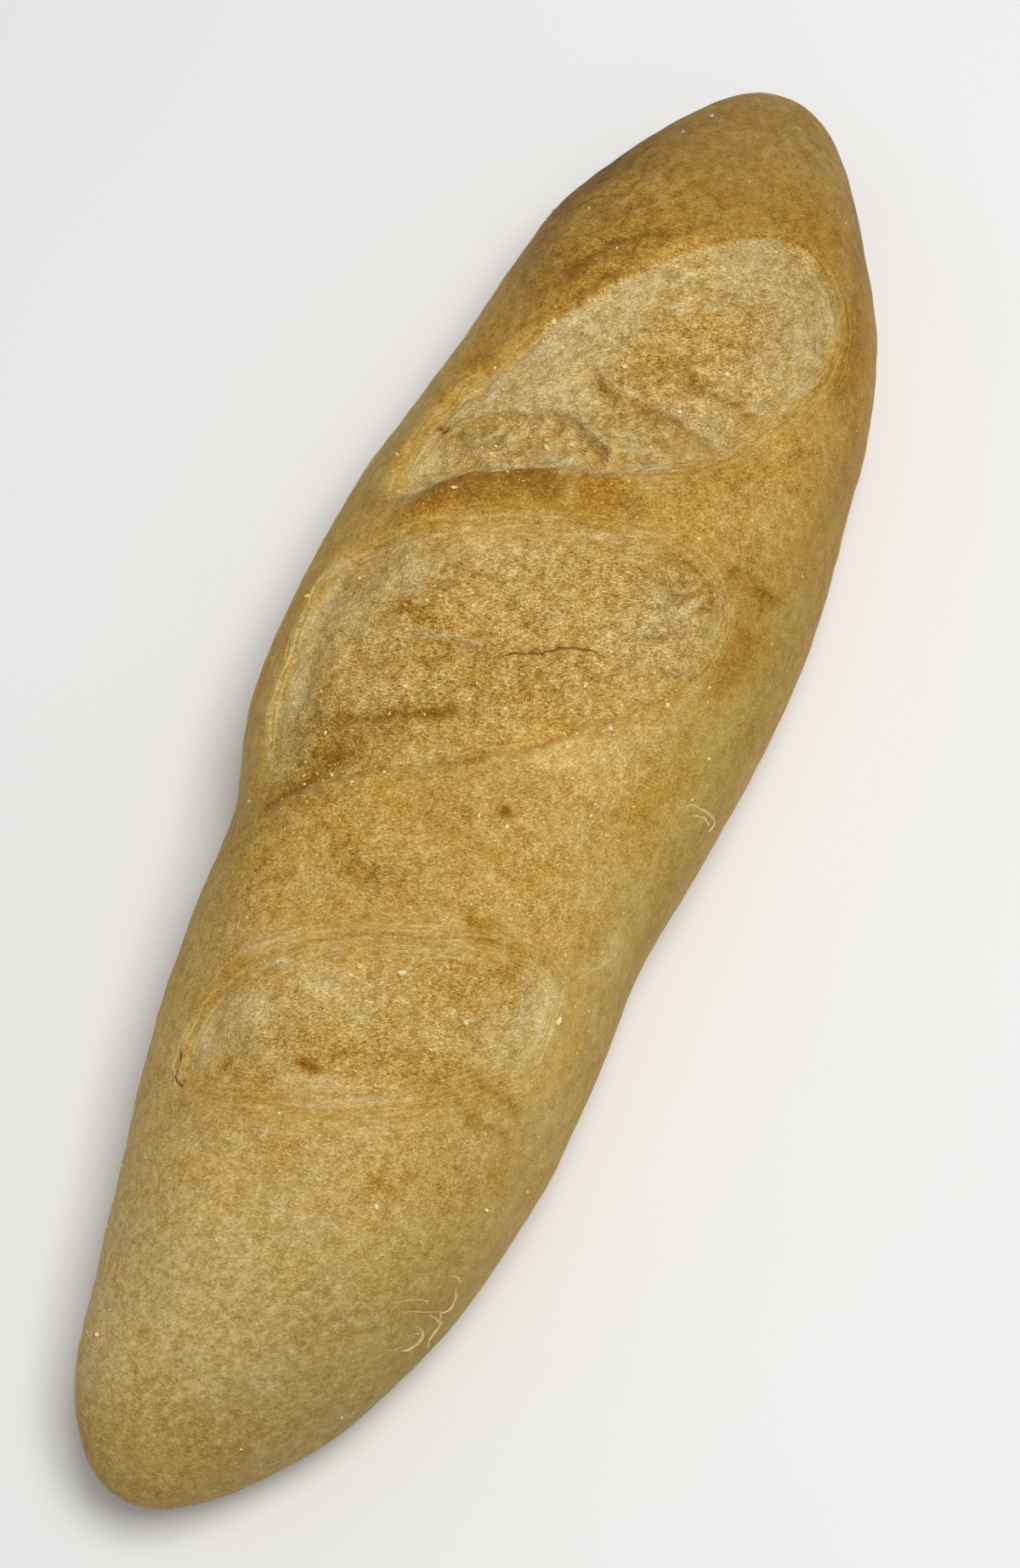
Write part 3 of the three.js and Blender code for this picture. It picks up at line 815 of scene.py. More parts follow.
def make_piece(name, points, triangles, finish, attributes=None, places=None, smooth=True):
    """A mesh object at the origin from points in millimetres, with point attributes and a map of places."""
    mesh = bpy.data.meshes.new(name)
    mesh.vertices.add(len(points))
    mesh.vertices.foreach_set("co", (points * METRES).astype(np.float32).ravel())
    mesh.loops.add(triangles.size)
    mesh.loops.foreach_set("vertex_index", triangles.astype(np.int32).ravel())
    mesh.polygons.add(len(triangles))
    mesh.polygons.foreach_set("loop_start", np.arange(0, triangles.size, 3, dtype=np.int32))
    mesh.polygons.foreach_set("use_smooth", np.full(len(triangles), smooth))
    mesh.update(calc_edges=True)
    for label, values in (attributes or {}).items():
        layer = mesh.attributes.new(label, "FLOAT_VECTOR", "POINT")
        layer.data.foreach_set("vector", values.astype(np.float32).ravel())
    if places is not None:
        layer = mesh.uv_layers.new(name="places")
        layer.data.foreach_set("uv", (places * METRES).astype(np.float32).ravel())
    mesh.materials.append(finish)
    piece = bpy.data.objects.new(name, mesh)
    bpy.context.scene.collection.objects.link(piece)
    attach(piece, "root")
    return piece


def with_poles(values, first, last):
    """Grid values flattened, with the two poles' own values before and after them."""
    flat = values.reshape(-1, *values.shape[2:])
    return np.concatenate([[first], flat, [last]])


def crust_places(here, triangles):
    """(x, round) of every triangle corner, with round carried on past the seam under the loaf."""
    x = with_poles(here.x, -LENGTH / 2.0, LENGTH / 2.0)
    around = with_poles(here.round, 0.0, 0.0)
    full_turn = with_poles(2.0 * np.pi * CREST_ARC * half_width(here.xi), 0.0, 0.0)
    corner_round = around[triangles]
    crosses = corner_round.max(1) - corner_round.min(1) > 0.5 * full_turn[triangles].max(1)
    wraps = crosses[:, None] & (corner_round < 0.0)
    corner_round = np.where(wraps, corner_round + full_turn[triangles], corner_round)
    return np.stack([x[triangles], corner_round], -1)


def make_crust(finish):
    """The whole loaf's skin: the bare loaf moved out along its normals by the relief."""
    here = place_on_loaf(*crust_grid())
    surface = here.base + here.outward * crust_relief(here)[..., None]
    surface[..., 2] = np.maximum(surface[..., 2], 0.0)
    tip = np.array([LENGTH / 2.0, 0.0, TIP_HEIGHT])
    poles = [tip * (-1, 1, 1) + (0, DRIFT[0], 0), tip + (0, DRIFT[-1], 0)]
    points = with_poles(surface, *poles)
    triangles = closed_grid_faces(RINGS, SPOKES)
    attributes = {label: with_poles(values, values[0].mean(0), values[-1].mean(0))
                  for label, values in crust_attributes(here).items()}
    crust = make_piece("loaf_crust", points, triangles, finish, attributes, crust_places(here, triangles))
    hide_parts("loaf")
    return crust


def surface_at(x, around):
    """Point and outward direction of the finished crust at (x, round)."""
    xi = np.asarray(x, float) / (LENGTH / 2.0)
    angle = np.asarray(around, float) / (CREST_ARC * half_width(xi))
    here = place_on_loaf(xi, angle)
    return here.base + here.outward * crust_relief(here)[..., None], here.outward


# Loose semolina: a few large grains listed one by one, the rest by a seeded draw. Sizes are half-widths
# before each grain is stretched and dented.
LARGE_GRAINS = [(3.4, -28.9), (-49.6, 0.9), (-47.9, -5.2), (-58.5, -14.1), (-51.3, -17.9), (-42.7, -35.6),
                (12.9, -3.4), (85.1, -17.8), (84.4, -12.6), (25.0, -14.5)]
GRAIN_SEED = 5
GRAIN_DRAWS = 4500
GRAIN_FIELD = SimpleNamespace(x=140.0, round=50.0)
GRAIN_SPOTS = [
    (-17, 20, 11, 10, 0.8), (10, 0, 20, 22, 0.25), (14, -6, 8, 10, 0.4), (80, -2, 18, 16, 0.35),
    (58, 14, 10, 14, 0.35), (-16, -20, 18, 14, 0.3), (-56, -4, 16, 18, 0.15), (12, -28, 14, 8, 0.25),
    (50, 14, 5, 10, 0.3), (104, 10, 4, 10, 0.3),
]
GRAIN_BASE = 0.035
GRAIN_SIZE = (0.2, 0.55)
LARGE_SIZE = (0.5, 0.8)
SMALL_GRAINS = 3
GRAIN_STRETCH = (0.5, 1.35)
GRAIN_DENT = (0.65, 1.2)
GRAIN_SINK = 0.35


def unit_grain():
    """An icosahedron: three crossed golden rectangles' corners and its twenty triangles."""
    golden = (1.0 + math.sqrt(5.0)) / 2.0
    corners = np.array([(-1, golden, 0), (1, golden, 0), (-1, -golden, 0), (1, -golden, 0),
                        (0, -1, golden), (0, 1, golden), (0, -1, -golden), (0, 1, -golden),
                        (golden, 0, -1), (golden, 0, 1), (-golden, 0, -1), (-golden, 0, 1)], float)
    faces = np.array([(0, 11, 5), (0, 5, 1), (0, 1, 7), (0, 7, 10), (0, 10, 11), (1, 5, 9), (5, 11, 4),
                      (11, 10, 2), (10, 7, 6), (7, 1, 8), (3, 9, 4), (3, 4, 2), (3, 2, 6), (3, 6, 8),
                      (3, 8, 9), (4, 9, 5), (2, 4, 11), (6, 2, 10), (8, 6, 7), (9, 8, 1)])
    return corners / np.linalg.norm(corners[0]), faces


def make_semolina(finish):
    """Loose grains: uneven icosahedra set a little into the crust, thick where the draw finds a spot."""
    draw = np.random.default_rng(GRAIN_SEED)
    x = draw.uniform(-GRAIN_FIELD.x, GRAIN_FIELD.x, GRAIN_DRAWS)
    around = draw.uniform(-GRAIN_FIELD.round, GRAIN_FIELD.round, GRAIN_DRAWS)
    there = SimpleNamespace(x=x, round=around)
    kept = draw.uniform(0.0, 1.0, GRAIN_DRAWS) < GRAIN_BASE + soft_spots(GRAIN_SPOTS, there)
    large = np.array(LARGE_GRAINS)
    x = np.concatenate([large[:, 0], x[kept]])
    around = np.concatenate([large[:, 1], around[kept]])
    count = len(x)
    size = blend(*GRAIN_SIZE, draw.uniform(0.0, 1.0, count) ** SMALL_GRAINS)
    size[:len(large)] = draw.uniform(*LARGE_SIZE, len(large))
    point, outward = surface_at(x, around)
    corners, faces = unit_grain()
    stretch = draw.uniform(*GRAIN_STRETCH, (count, 1, 3))
    dent = draw.uniform(*GRAIN_DENT, (count, len(corners), 1))
    turn, _ = np.linalg.qr(draw.normal(size=(count, 3, 3)))
    turn *= np.sign(np.linalg.det(turn))[:, None, None]
    shape = np.einsum("cij,cnj->cni", turn, corners[None] * stretch * dent) * size[:, None, None]
    centre = point + outward * (size * GRAIN_SINK)[:, None]
    points = (shape + centre[:, None]).reshape(-1, 3)
    triangles = (faces[None] + len(corners) * np.arange(count)[:, None, None]).reshape(-1, 3)
    tone = np.repeat(draw.uniform(0.0, 1.0, (count, 1)), len(corners), 0) * np.ones(3)
    return make_piece("semolina_grains", points, triangles, finish, {"tone": tone}, smooth=False)


# Peeling skin: raised curling edges of dried skin, each a short line on the crust
PEELING_SKIN = [
    [(-102.4, -26.9), (-100.6, -30.5), (-99.6, -34.1), (-99.8, -35.8)],
    [(-103.4, -30.2), (-102.4, -32.1), (-101.3, -36.5), (-99.6, -41.3)],
    [(-99.6, -41.3), (-101, -43), (-101.7, -44.6), (-104.8, -44.2), (-106.2, -46.3)],
    [(-101.3, -38), (-101.3, -41.6), (-101.7, -44.3)],
    [(-104.1, -35.7), (-104.5, -38.9), (-106.2, -40.5), (-107.9, -38.3), (-109.2, -35.6)],
    [(-110.6, -30.8), (-109.9, -32.7), (-108.2, -35.1)],
    [(-106.5, -35.2), (-105.5, -36.8), (-105.2, -39)],
    [(-93.4, -37.2), (-93, -39.6), (-93.4, -42.3)],
    [(-94.5, -41.3), (-96.7, -44), (-98.5, -43.8), (-99.6, -41.6)],
    [(4.3, -45.1), (6.1, -48.2), (6.6, -52.2), (7, -59.7), (4.7, -59)],
    [(4.3, -49), (5.6, -53.5), (5.6, -58.2)],
]
SKIN_SEED = 9
SKIN_WIDTH = 0.45
SKIN_LIFT = 0.28
SKIN_THICKNESS = 0.1
SKIN_ROOT = 0.04
SKIN_STEPS = 14
SKIN_TIP = 0.02
SKIN_UNEVEN = 0.35
SKIN_RIPPLES = (14.0, 26.0)
RIPPLE_START = (0.0, 6.0)
# The blade's section, from root to free edge below and back above: share across, share of thickness
BLADE_ACROSS = np.array([0.0, 0.5, 1.0, 1.0, 0.5, 0.0])[None, :, None]
BLADE_RAISED = np.array([0.0, 0.0, 0.0, 1.0, 1.0, 1.0])[None, :, None]


def skin_edge(line, draw):
    """A thin curling strip: a flat blade section carried along a line on the crust, one edge lifted.

    The blade rises as the square of the share across it, times the lift, and narrows to nothing
    at both ends of the line.
    """
    path = smooth_line(line, SKIN_STEPS)
    point, outward = surface_at(path[:, 0], path[:, 1])
    forward = np.gradient(point, axis=0)
    forward /= np.linalg.norm(forward, axis=-1, keepdims=True)
    sideways = np.cross(outward, forward)
    share = np.linspace(0.0, 1.0, len(path))
    narrowing = np.sqrt(np.clip(np.sin(np.pi * share), SKIN_TIP, 1.0))
    uneven = 1.0 + SKIN_UNEVEN * np.sin(share * draw.uniform(*SKIN_RIPPLES) + draw.uniform(*RIPPLE_START))
    size = (narrowing * uneven)[:, None, None]
    out = SKIN_WIDTH * BLADE_ACROSS * size * sideways[:, None]
    up = SKIN_LIFT * BLADE_ACROSS**2 * size + SKIN_THICKNESS * BLADE_RAISED - SKIN_ROOT
    return point[:, None] + out + up * outward[:, None]


def strip_faces(rings, spokes):
    """Triangles of a tube of rings with both its ends closed by fans."""
    spoke = np.arange(spokes)
    following = (spoke + 1) % spokes
    here = spokes * np.arange(rings - 1)[:, None]
    ahead = here + spokes
    lower = np.stack([here + spoke, here + following, ahead + spoke], -1)
    upper = np.stack([here + following, ahead + following, ahead + spoke], -1)
    fan = np.stack([np.zeros(spokes - 2, int), spoke[2:], spoke[1:-1]], -1)
    last = fan[:, ::-1] + spokes * (rings - 1)
    return np.concatenate([fan, np.stack([lower, upper], 2).reshape(-1, 3), last])


def make_peeling_skin(finish):
    """All curling edges of dried skin, joined in one piece."""
    draw = np.random.default_rng(SKIN_SEED)
    points = []
    triangles = []
    count = 0
    for line in PEELING_SKIN:
        blade = skin_edge(line, draw)
        points.append(blade.reshape(-1, 3))
        triangles.append(strip_faces(*blade.shape[:2]) + count)
        count += blade.shape[0] * blade.shape[1]
    return make_piece("peeling_skin", np.concatenate(points), np.concatenate(triangles), finish)


def srgb(red, green, blue):
    """Linear colour from screen values of 0 to 255."""
    screen = np.array([red, green, blue]) / 255.0
    linear = np.where(screen <= 0.04045, screen / 12.92, ((screen + 0.055) / 1.055) ** 2.4)
    return (*linear.tolist(), 1.0)


class Wiring:
    """Short calls that add nodes to one tree. Each gives back the new node's output socket."""

    def __init__(self, tree):
        self.tree = tree

    def node(self, kind, inputs, output=0, **settings):
        """Any node, with its settings and its inputs by name or number."""
        made = self.tree.nodes.new(kind)
        for name, value in settings.items():
            setattr(made, name, value)
        for key, value in inputs.items():
            self.feed(made.inputs[key], value)
        return made.outputs[output]

    def group(self, shared, **inputs):
        """A shared node group with its inputs fed. Gives back all its outputs."""
        made = self.tree.nodes.new("ShaderNodeGroup")
        made.node_tree = shared
        for name, value in inputs.items():
            self.feed(made.inputs[name], value)
        return made.outputs

    def feed(self, socket, value):
        """Links a socket to another, or sets its own value."""
        if isinstance(value, bpy.types.NodeSocket):
            self.tree.links.new(value, socket)
        else:
            socket.default_value = value

    def math(self, operation, *values):
        """One sum on up to three values."""
        return self.node("ShaderNodeMath", dict(enumerate(values)), operation=operation)

    def scaled(self, value, times, plus):
        """A value times a factor, plus another value."""
        return self.math("MULTIPLY_ADD", value, times, plus)

    def product(self, first, second):
        """The product of two values."""
        return self.math("MULTIPLY", first, second)

    def add_up(self, start, parts):
        """A value plus each part times its weight."""
        for part, weight in parts:
            start = self.scaled(part, weight, start)
        return start

    def step(self, value, low, high):
        """0 below low, 1 above high and smooth between them."""
        inputs = {"Value": value, "From Min": low, "From Max": high}
        return self.node("ShaderNodeMapRange", inputs, interpolation_type="SMOOTHSTEP")

    def bell(self, distance, width):
        """A hump: e to the power of minus the square of distance over width."""
        squared = self.math("POWER", self.math("DIVIDE", distance, width), 2.0)
        return self.math("EXPONENT", self.product(squared, -1.0))

    def blend(self, share, low, high):
        """The value a share of the way from low to high."""
        inputs = {0: share, 2: low, 3: high}
        return self.node("ShaderNodeMix", inputs, output=0, data_type="FLOAT")

    def tint(self, share, below, above):
        """The colour a share of the way from below to above."""
        inputs = {0: share, 6: below, 7: above}
        return self.node("ShaderNodeMix", inputs, output=2, data_type="RGBA")

    def noise(self, place, size, detail=2.0, roughness=0.5, curl=0.0):
        """Noise of a feature size in millimetres, between 0 and 1."""
        inputs = {"Vector": place, "Scale": 1000.0 / size, "Detail": detail, "Roughness": roughness,
                  "Distortion": curl}
        return self.node("ShaderNodeTexNoise", inputs)

    def stretched(self, place, turn, stretch):
        """Places turned by an angle in degrees and drawn out along it."""
        inputs = {"Vector": place, "Rotation": (0.0, 0.0, math.radians(turn)), "Scale": (stretch, 1.0, 1.0)}
        return self.node("ShaderNodeMapping", inputs, vector_type="TEXTURE")

    def body(self):
        """The piece's own coordinates."""
        return self.node("ShaderNodeTexCoord", {}, output="Object")

    def attribute(self, name):
        """The three values of a point attribute."""
        vector = self.node("ShaderNodeAttribute", {}, output="Vector", attribute_name=name)
        split = self.tree.nodes.new("ShaderNodeSeparateXYZ")
        self.tree.links.new(vector, split.inputs[0])
        return split.outputs


def new_group(name, inputs, outputs):
    """A shader node group with named sockets, its wiring, its inputs and its output node."""
    tree = bpy.data.node_groups.new(name, "ShaderNodeTree")
    for label, kind, value in inputs:
        socket = tree.interface.new_socket(name=label, in_out="INPUT", socket_type=kind)
        if value is not None:
            socket.default_value = value
    for label, kind in outputs:
        tree.interface.new_socket(name=label, in_out="OUTPUT", socket_type=kind)
    entry = tree.nodes.new("NodeGroupInput")
    leave = tree.nodes.new("NodeGroupOutput")
    return tree, Wiring(tree), entry.outputs, leave.inputs


def felt_grain_group():
    """Felt of short curling fibres, drawn out crosswise, thicker where a wider mottle is light."""
    tree, wire, entry, leave = new_group(
        "felt_grain",
        [("Place", "NodeSocketVector", None)],
        [("Fibre", "NodeSocketFloat"), ("Mottle", "NodeSocketFloat")])
    crosswise = wire.stretched(entry["Place"], turn=-68.0, stretch=2.0)
    mottle = wire.noise(entry["Place"], size=2.4, detail=2.0, roughness=0.7)
    curls = wire.noise(crosswise, size=0.32, detail=3.0, roughness=0.75, curl=1.0)
    lean = wire.scaled(mottle, times=0.12, plus=-0.06)
    wire.feed(leave["Fibre"], wire.step(wire.math("ADD", curls, lean), low=0.3, high=0.7))
    wire.feed(leave["Mottle"], mottle)
    return tree


BAKE_COLOURS = [
    (0.0, (216, 194, 142)), (0.25, (207, 177, 110)), (0.5, (197, 158, 80)),
    (0.7, (185, 141, 53)), (0.85, (170, 122, 35)), (1.0, (142, 95, 20)),
]
FLOUR_COLOUR = (223, 195, 132)
STAIN_COLOUR = (118, 64, 20)
COOL_PATCH = (0.98, 1.0, 1.06, 1.0)
WARM_PATCH = (1.03, 0.99, 0.94, 1.0)
# The greener hue painted on crust in shade
OLIVE_TINT = (0.86, 0.97, 1.0, 1.0)
FELT_DEPTH = 0.44
FELT_MIDDLE = 0.465
CRUST_BUMP = 0.25 * METRES
MIDDLE = 0.5


def bake_colour_group():
    """Crust colour by how far it is baked, with flour over it, all lighter or darker by one factor, which
    on the crust carries painted light and shade.
    """
    tree, wire, entry, leave = new_group(
        "bake_colour",
        [("Bake", "NodeSocketFloat", 0.5), ("Flour", "NodeSocketFloat", 0.0),
         ("Light", "NodeSocketFloat", 1.0)],
        [("Color", "NodeSocketColor")])
    ramp = tree.nodes.new("ShaderNodeValToRGB")
    stops = ramp.color_ramp.elements
    while len(stops) < len(BAKE_COLOURS):
        stops.new(0.5)
    for stop, (place, colour) in zip(stops, BAKE_COLOURS):
        stop.position = place
        stop.color = srgb(*colour)
    wire.feed(ramp.inputs[0], entry["Bake"])
    floury = wire.tint(entry["Flour"], ramp.outputs[0], srgb(*FLOUR_COLOUR))
    lit = wire.node("ShaderNodeVectorMath", {0: floury, "Scale": entry["Light"]}, operation="SCALE")
    wire.feed(leave["Color"], lit)
    return tree


def new_finish(name):
    """An empty material with a principled shader, and its wiring."""
    finish = bpy.data.materials.new(name)
    finish.use_nodes = True
    shader = finish.node_tree.nodes["Principled BSDF"]
    return finish, Wiring(finish.node_tree), shader


def crust_sockets(wire, felt_grain):
    """The crust's places, attributes and felt, which its finish is mixed from."""
    parts = SimpleNamespace()
    parts.place = wire.node("ShaderNodeUVMap", {}, uv_map="places")
    parts.body = wire.body()
    parts.bed, parts.softness, parts.line = wire.attribute("bed_edge")
    parts.crust_bake, parts.bed_bake, parts.flour = wire.attribute("bake")
    # The stain attribute's third value is painted shade
    parts.stain_side, parts.stain, parts.shade = wire.attribute("stain")
    parts.rim_side, parts.pale, parts.streaky = wire.attribute("rim")
    parts.coarse, parts.flecked, parts.specked = wire.attribute("grain")
    # The tint attribute: greener hue of crust in shade, painted light, painted shade in crevices
    parts.olive, parts.lift, parts.crevice = wire.attribute("tint")
    grain = wire.group(felt_grain, Place=parts.body)
    parts.fibre = wire.scaled(grain["Fibre"], times=FELT_DEPTH, plus=-FELT_MIDDLE * FELT_DEPTH)
    parts.mottle = wire.math("SUBTRACT", grain["Mottle"], MIDDLE)
    return parts


def add_bed_edge(wire, parts):
    """Adds the ragged edge of the beds, crisp or soft, and the share inside it."""
    ragged = wire.math("SUBTRACT", wire.noise(parts.place, size=2.2, detail=3.0, roughness=0.6), MIDDLE)
    raggedness = wire.scaled(parts.softness, times=0.8, plus=0.4)
    parts.edge = wire.math("ADD", parts.bed, wire.product(ragged, raggedness))
    parts.inside = wire.step(parts.edge, low=wire.product(parts.softness, -1.0), high=parts.softness)


def add_streaks(wire, parts):
    """Adds stretch streaks that follow the beds' edges, and the felt, which is weaker among them.

    The streaks are noise on the distance to the edge and, much drawn out, on the way along it.
    """
    slant = wire.node("ShaderNodeSeparateXYZ", {0: wire.stretched(parts.place, turn=-42.0, stretch=1.0)})
    drawn_out = wire.product(slant, 0.09)
    beside_edge = wire.node("ShaderNodeCombineXYZ", {0: wire.product(parts.bed, METRES), 1: drawn_out})
    streaks = wire.step(wire.noise(beside_edge, size=0.7, detail=3.0, roughness=0.7), low=0.42, high=0.7)
    near_edge = wire.bell(wire.math("SUBTRACT", parts.bed, 1.0), width=4.5)
    parts.streak_share = wire.product(near_edge, parts.streaky)
    parts.streak = wire.product(streaks, parts.streak_share)
    felt = wire.product(wire.scaled(parts.mottle, times=0.3, plus=parts.fibre), parts.coarse)
    parts.felt = wire.product(felt, wire.scaled(parts.streak_share, times=-0.4, plus=1.0))


def add_marks(wire, parts):
    """Adds broken double rims, dark stains along the torn lines, dark flecks and light specks."""
    broken = wire.step(wire.noise(parts.place, size=1.6, detail=3.0, roughness=0.6), low=0.34, high=0.56)
    second_line = wire.bell(wire.math("ADD", parts.rim_side, 1.0), width=0.25)
    double = wire.scaled(second_line, times=0.5, plus=wire.bell(parts.rim_side, width=0.3))
    parts.rim_line = wire.product(wire.product(double, parts.pale), broken)
    stain_width = wire.scaled(parts.stain, times=0.16, plus=0.06)
    stain_share = wire.product(parts.stain, wire.blend(parts.stain, low=broken, high=1.0))
    parts.stain_line = wire.product(wire.bell(parts.stain_side, stain_width), stain_share)
    flecks = wire.step(wire.noise(parts.body, size=0.6, detail=1.0, roughness=0.6), low=0.58, high=0.7)
    parts.fleck = wire.product(flecks, parts.flecked)
    specks = wire.step(wire.noise(parts.body, size=0.9, detail=2.0, roughness=0.6), low=0.62, high=0.74)
    parts.speck = wire.product(specks, parts.specked)


def crust_browning(wire, parts):
    """How far the crust is baked: bed or outer crust, plus each mark, painted shade too, times its weight.
    """
    blotch = wire.math("SUBTRACT", wire.noise(parts.body, size=11.0, detail=4.0, roughness=0.6), MIDDLE)
    edge_line = wire.product(wire.bell(parts.edge, width=0.4), parts.line)
    return wire.add_up(wire.blend(parts.inside, parts.crust_bake, parts.bed_bake), [
        (parts.felt, -1.4), (blotch, 0.5), (parts.streak_share, 0.08), (parts.streak, -0.36),
        (parts.fleck, 0.22), (parts.speck, -0.2), (parts.shade, 0.1), (parts.crevice, 0.38),
        (edge_line, 0.3), (parts.rim_line, -0.45)])


def crust_light(wire, parts):
    """How light the crust is: felt, streaks and specks, times the painted light of lifts and the painted
    shade of hollows.
    """
    # The felt's dark strokes stand partly for painted shade between its fibres, partly for its own grain
    light = wire.add_up(1.02, [(parts.streak, 0.12), (parts.felt, 1.1), (parts.speck, 0.2)])
    painted_shade = wire.product(parts.shade, wire.scaled(parts.mottle, times=-0.5, plus=0.5))
    painted_shade = wire.add_up(painted_shade, [(parts.crevice, 0.32)])
    return wire.product(light, wire.math("SUBTRACT", wire.math("ADD", parts.lift, 1.0), painted_shade))


def crust_finish(felt_grain, bake_colour):
    """Golden crust: browning by place, felt grain, pale beds with crisp edges, stains, rims, flour, and
    painted light and shade.
    """
    finish, wire, shader = new_finish("baked_crust")
    parts = crust_sockets(wire, felt_grain)
    add_bed_edge(wire, parts)
    add_streaks(wire, parts)
    add_marks(wire, parts)
    slanted = wire.stretched(parts.body, turn=-44.0, stretch=1.5)
    powder = wire.noise(slanted, size=1.2, detail=4.0, roughness=0.75)
    dusted = wire.step(wire.scaled(parts.flour, times=0.5, plus=powder), low=0.6, high=0.74)
    colour = wire.group(bake_colour, Bake=crust_browning(wire, parts), Flour=wire.product(dusted, 0.8),
                        Light=crust_light(wire, parts))
    warmth = wire.step(wire.noise(parts.body, size=8.0, detail=3.0, roughness=0.6), low=0.34, high=0.66)
    # Painted shade hue: greener where the olive spots lie in shade; cool and warm patches at random
    hue = wire.tint(parts.olive, wire.tint(warmth, COOL_PATCH, WARM_PATCH), OLIVE_TINT)
    patchy = wire.node("ShaderNodeVectorMath", {0: colour["Color"], 1: hue}, operation="MULTIPLY")
    wire.feed(shader.inputs["Base Color"], wire.tint(parts.stain_line, patchy, srgb(*STAIN_COLOUR)))
    dullness = wire.blend(parts.inside, low=0.66, high=0.8)
    wire.feed(shader.inputs["Roughness"], wire.scaled(parts.fibre, times=0.25, plus=dullness))
    shader.inputs["Specular IOR Level"].default_value = 0.22
    height = wire.add_up(parts.mottle, [
        (wire.product(parts.fibre, parts.coarse), 0.5), (parts.rim_line, 0.8),
        (parts.stain_line, -0.6), (parts.streak, 0.5)])
    relief = {"Height": height, "Distance": CRUST_BUMP, "Strength": 1.0}
    wire.feed(shader.inputs["Normal"], wire.node("ShaderNodeBump", relief))
    return finish


PALE_GRAIN = (244, 228, 172)
YELLOW_GRAIN = (232, 200, 104)
GRAIN_FLECK = (206, 174, 104)


def semolina_finish():
    """Coarse meal: cream to yellow from grain to grain, faintly glassy."""
    finish, wire, shader = new_finish("semolina")
    tone, _, _ = wire.attribute("tone")
    speck = wire.noise(wire.body(), size=0.4, detail=2.0, roughness=0.6)
    colour = wire.tint(wire.step(tone, low=0.45, high=0.8), srgb(*PALE_GRAIN), srgb(*YELLOW_GRAIN))
    flecked = wire.tint(wire.step(speck, low=0.5, high=0.8), colour, srgb(*GRAIN_FLECK))
    wire.feed(shader.inputs["Base Color"], flecked)
    wire.feed(shader.inputs["Roughness"], wire.scaled(speck, times=0.3, plus=0.4))
    shader.inputs["Specular IOR Level"].default_value = 0.4
    return finish


def skin_finish(felt_grain, bake_colour):
    """Dried outer skin: pale and floury with the crust's own grain."""
    finish, wire, shader = new_finish("dried_skin")
    grain = wire.group(felt_grain, Place=wire.body())
    colour = wire.group(bake_colour,
                        Bake=wire.scaled(grain["Fibre"], times=0.5, plus=-0.2),
                        Flour=wire.product(grain["Mottle"], 0.8),
                        Light=wire.scaled(grain["Fibre"], times=0.4, plus=0.95))
    wire.feed(shader.inputs["Base Color"], colour["Color"])
    wire.feed(shader.inputs["Roughness"], wire.scaled(grain["Mottle"], times=0.2, plus=0.6))
    shader.inputs["Specular IOR Level"].default_value = 0.3
    return finish


FLOOR_HALF = 3.0
FLOOR_GREY = (244, 243, 241)
FLOOR_WHITE = (248, 248, 247)


def floor_finish():
    """A pale painted board with the faintest mottle."""
    finish, wire, shader = new_finish("pale_floor")
    cloud = wire.noise(wire.body(), size=120.0, detail=3.0, roughness=0.5)
    wire.feed(shader.inputs["Base Color"], wire.tint(cloud, srgb(*FLOOR_GREY), srgb(*FLOOR_WHITE)))
    shader.inputs["Roughness"].default_value = 0.8
    return finish


def make_floor():
    """A level sheet under the loaf."""
    corners = [(x * FLOOR_HALF, y * FLOOR_HALF, 0.0) for x, y in [(-1, -1), (1, -1), (1, 1), (-1, 1)]]
    mesh = bpy.data.meshes.new("floor")
    mesh.from_pydata(corners, [], [(0, 1, 2, 3)])
    mesh.materials.append(floor_finish())
    floor = bpy.data.objects.new("floor", mesh)
    bpy.context.scene.collection.objects.link(floor)


# The camera looks down on the loaf, a little from the near end and from the right
TARGET = Vector((-0.1, -5.9, 30.0)) * METRES
LEAN_NEAR = 12.0
LEAN_RIGHT = 11.0
ROLL = 24.42
CAMERA_DISTANCE = 0.8
PIXEL_SIZE = 0.1652 * METRES
IMAGE_HEIGHT = 1845
SENSOR_HEIGHT = 36.0


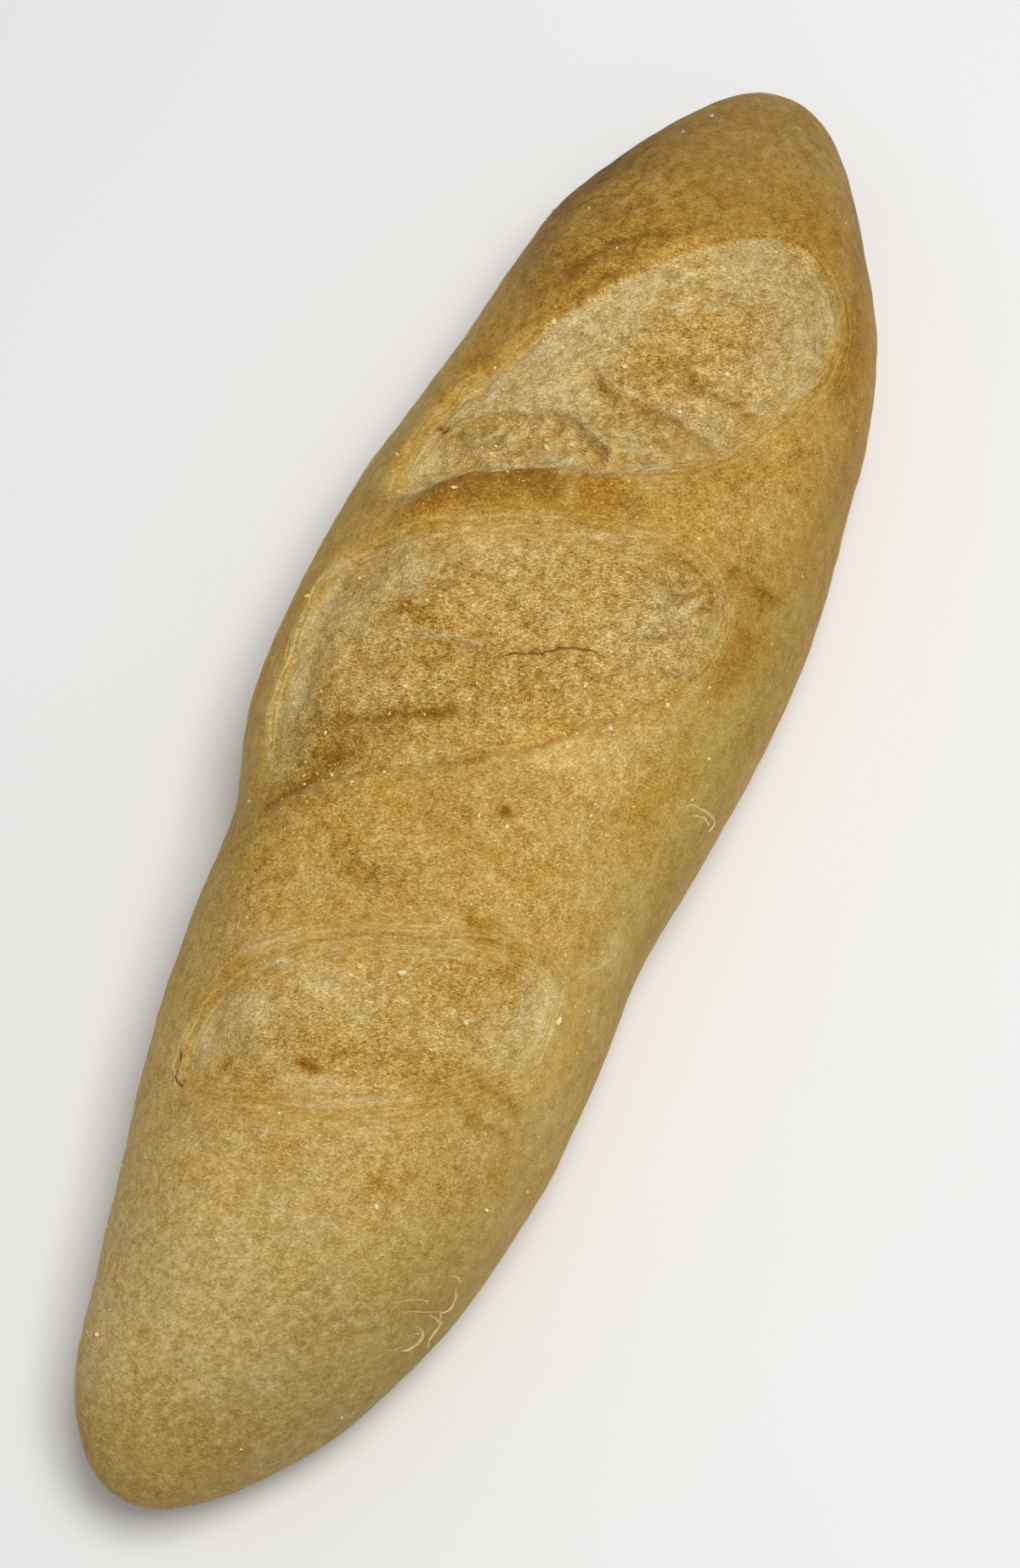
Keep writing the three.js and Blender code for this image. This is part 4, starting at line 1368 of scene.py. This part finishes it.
def make_camera():
    """A camera turned so that the loaf runs from lower left to upper right."""
    lean_x = -math.tan(math.radians(LEAN_NEAR))
    lean_y = -math.tan(math.radians(LEAN_RIGHT))
    back = Vector((lean_x, lean_y, 1.0)).normalized()
    along = Vector((1.0, 0.0, 0.0))
    along = (along - along.dot(back) * back).normalized()
    across = along.cross(back)
    turn = math.radians(ROLL)
    up = math.cos(turn) * along - math.sin(turn) * across
    right = math.sin(turn) * along + math.cos(turn) * across
    lens = bpy.data.cameras.new("camera")
    lens.sensor_fit = "VERTICAL"
    lens.sensor_height = SENSOR_HEIGHT
    lens.lens = SENSOR_HEIGHT * CAMERA_DISTANCE / (IMAGE_HEIGHT * PIXEL_SIZE)
    camera = bpy.data.objects.new("camera", lens)
    bpy.context.scene.collection.objects.link(camera)
    axes = Matrix((right, up, back)).transposed().to_4x4()
    camera.matrix_world = Matrix.Translation(TARGET + back * CAMERA_DISTANCE) @ axes
    bpy.context.scene.camera = camera


# Studio light: places and sizes in metres, strength of the soft box in watts
SURROUNDINGS_COLOUR = (0.96, 0.98, 1.0, 1.0)
SURROUNDINGS_STRENGTH = 0.34
SOFT_BOX_PLACE = (0.1, -0.27, 1.1)
SOFT_BOX_SIZE = 0.4
SOFT_BOX_WATTS = 8.3


def make_soft_box():
    """A square soft box that faces the loaf."""
    lamp = bpy.data.lights.new("soft_box", "AREA")
    lamp.shape = "SQUARE"
    lamp.size = SOFT_BOX_SIZE
    lamp.energy = SOFT_BOX_WATTS
    light = bpy.data.objects.new("soft_box", lamp)
    bpy.context.scene.collection.objects.link(light)
    light.location = SOFT_BOX_PLACE
    light.rotation_euler = (TARGET - Vector(SOFT_BOX_PLACE)).to_track_quat("-Z", "Y").to_euler()


def make_studio():
    """Even white surroundings and one soft box overhead, a little to the right."""
    world = bpy.data.worlds.new("studio")
    world.use_nodes = True
    surroundings = world.node_tree.nodes["Background"]
    surroundings.inputs["Color"].default_value = SURROUNDINGS_COLOUR
    surroundings.inputs["Strength"].default_value = SURROUNDINGS_STRENGTH
    bpy.context.scene.world = world
    make_soft_box()
    bpy.context.scene.view_settings.view_transform = "Standard"


make_camera()
make_studio()
make_floor()
felt_grain = felt_grain_group()
bake_colour = bake_colour_group()
make_crust(crust_finish(felt_grain, bake_colour))
make_semolina(semolina_finish())
make_peeling_skin(skin_finish(felt_grain, bake_colour))
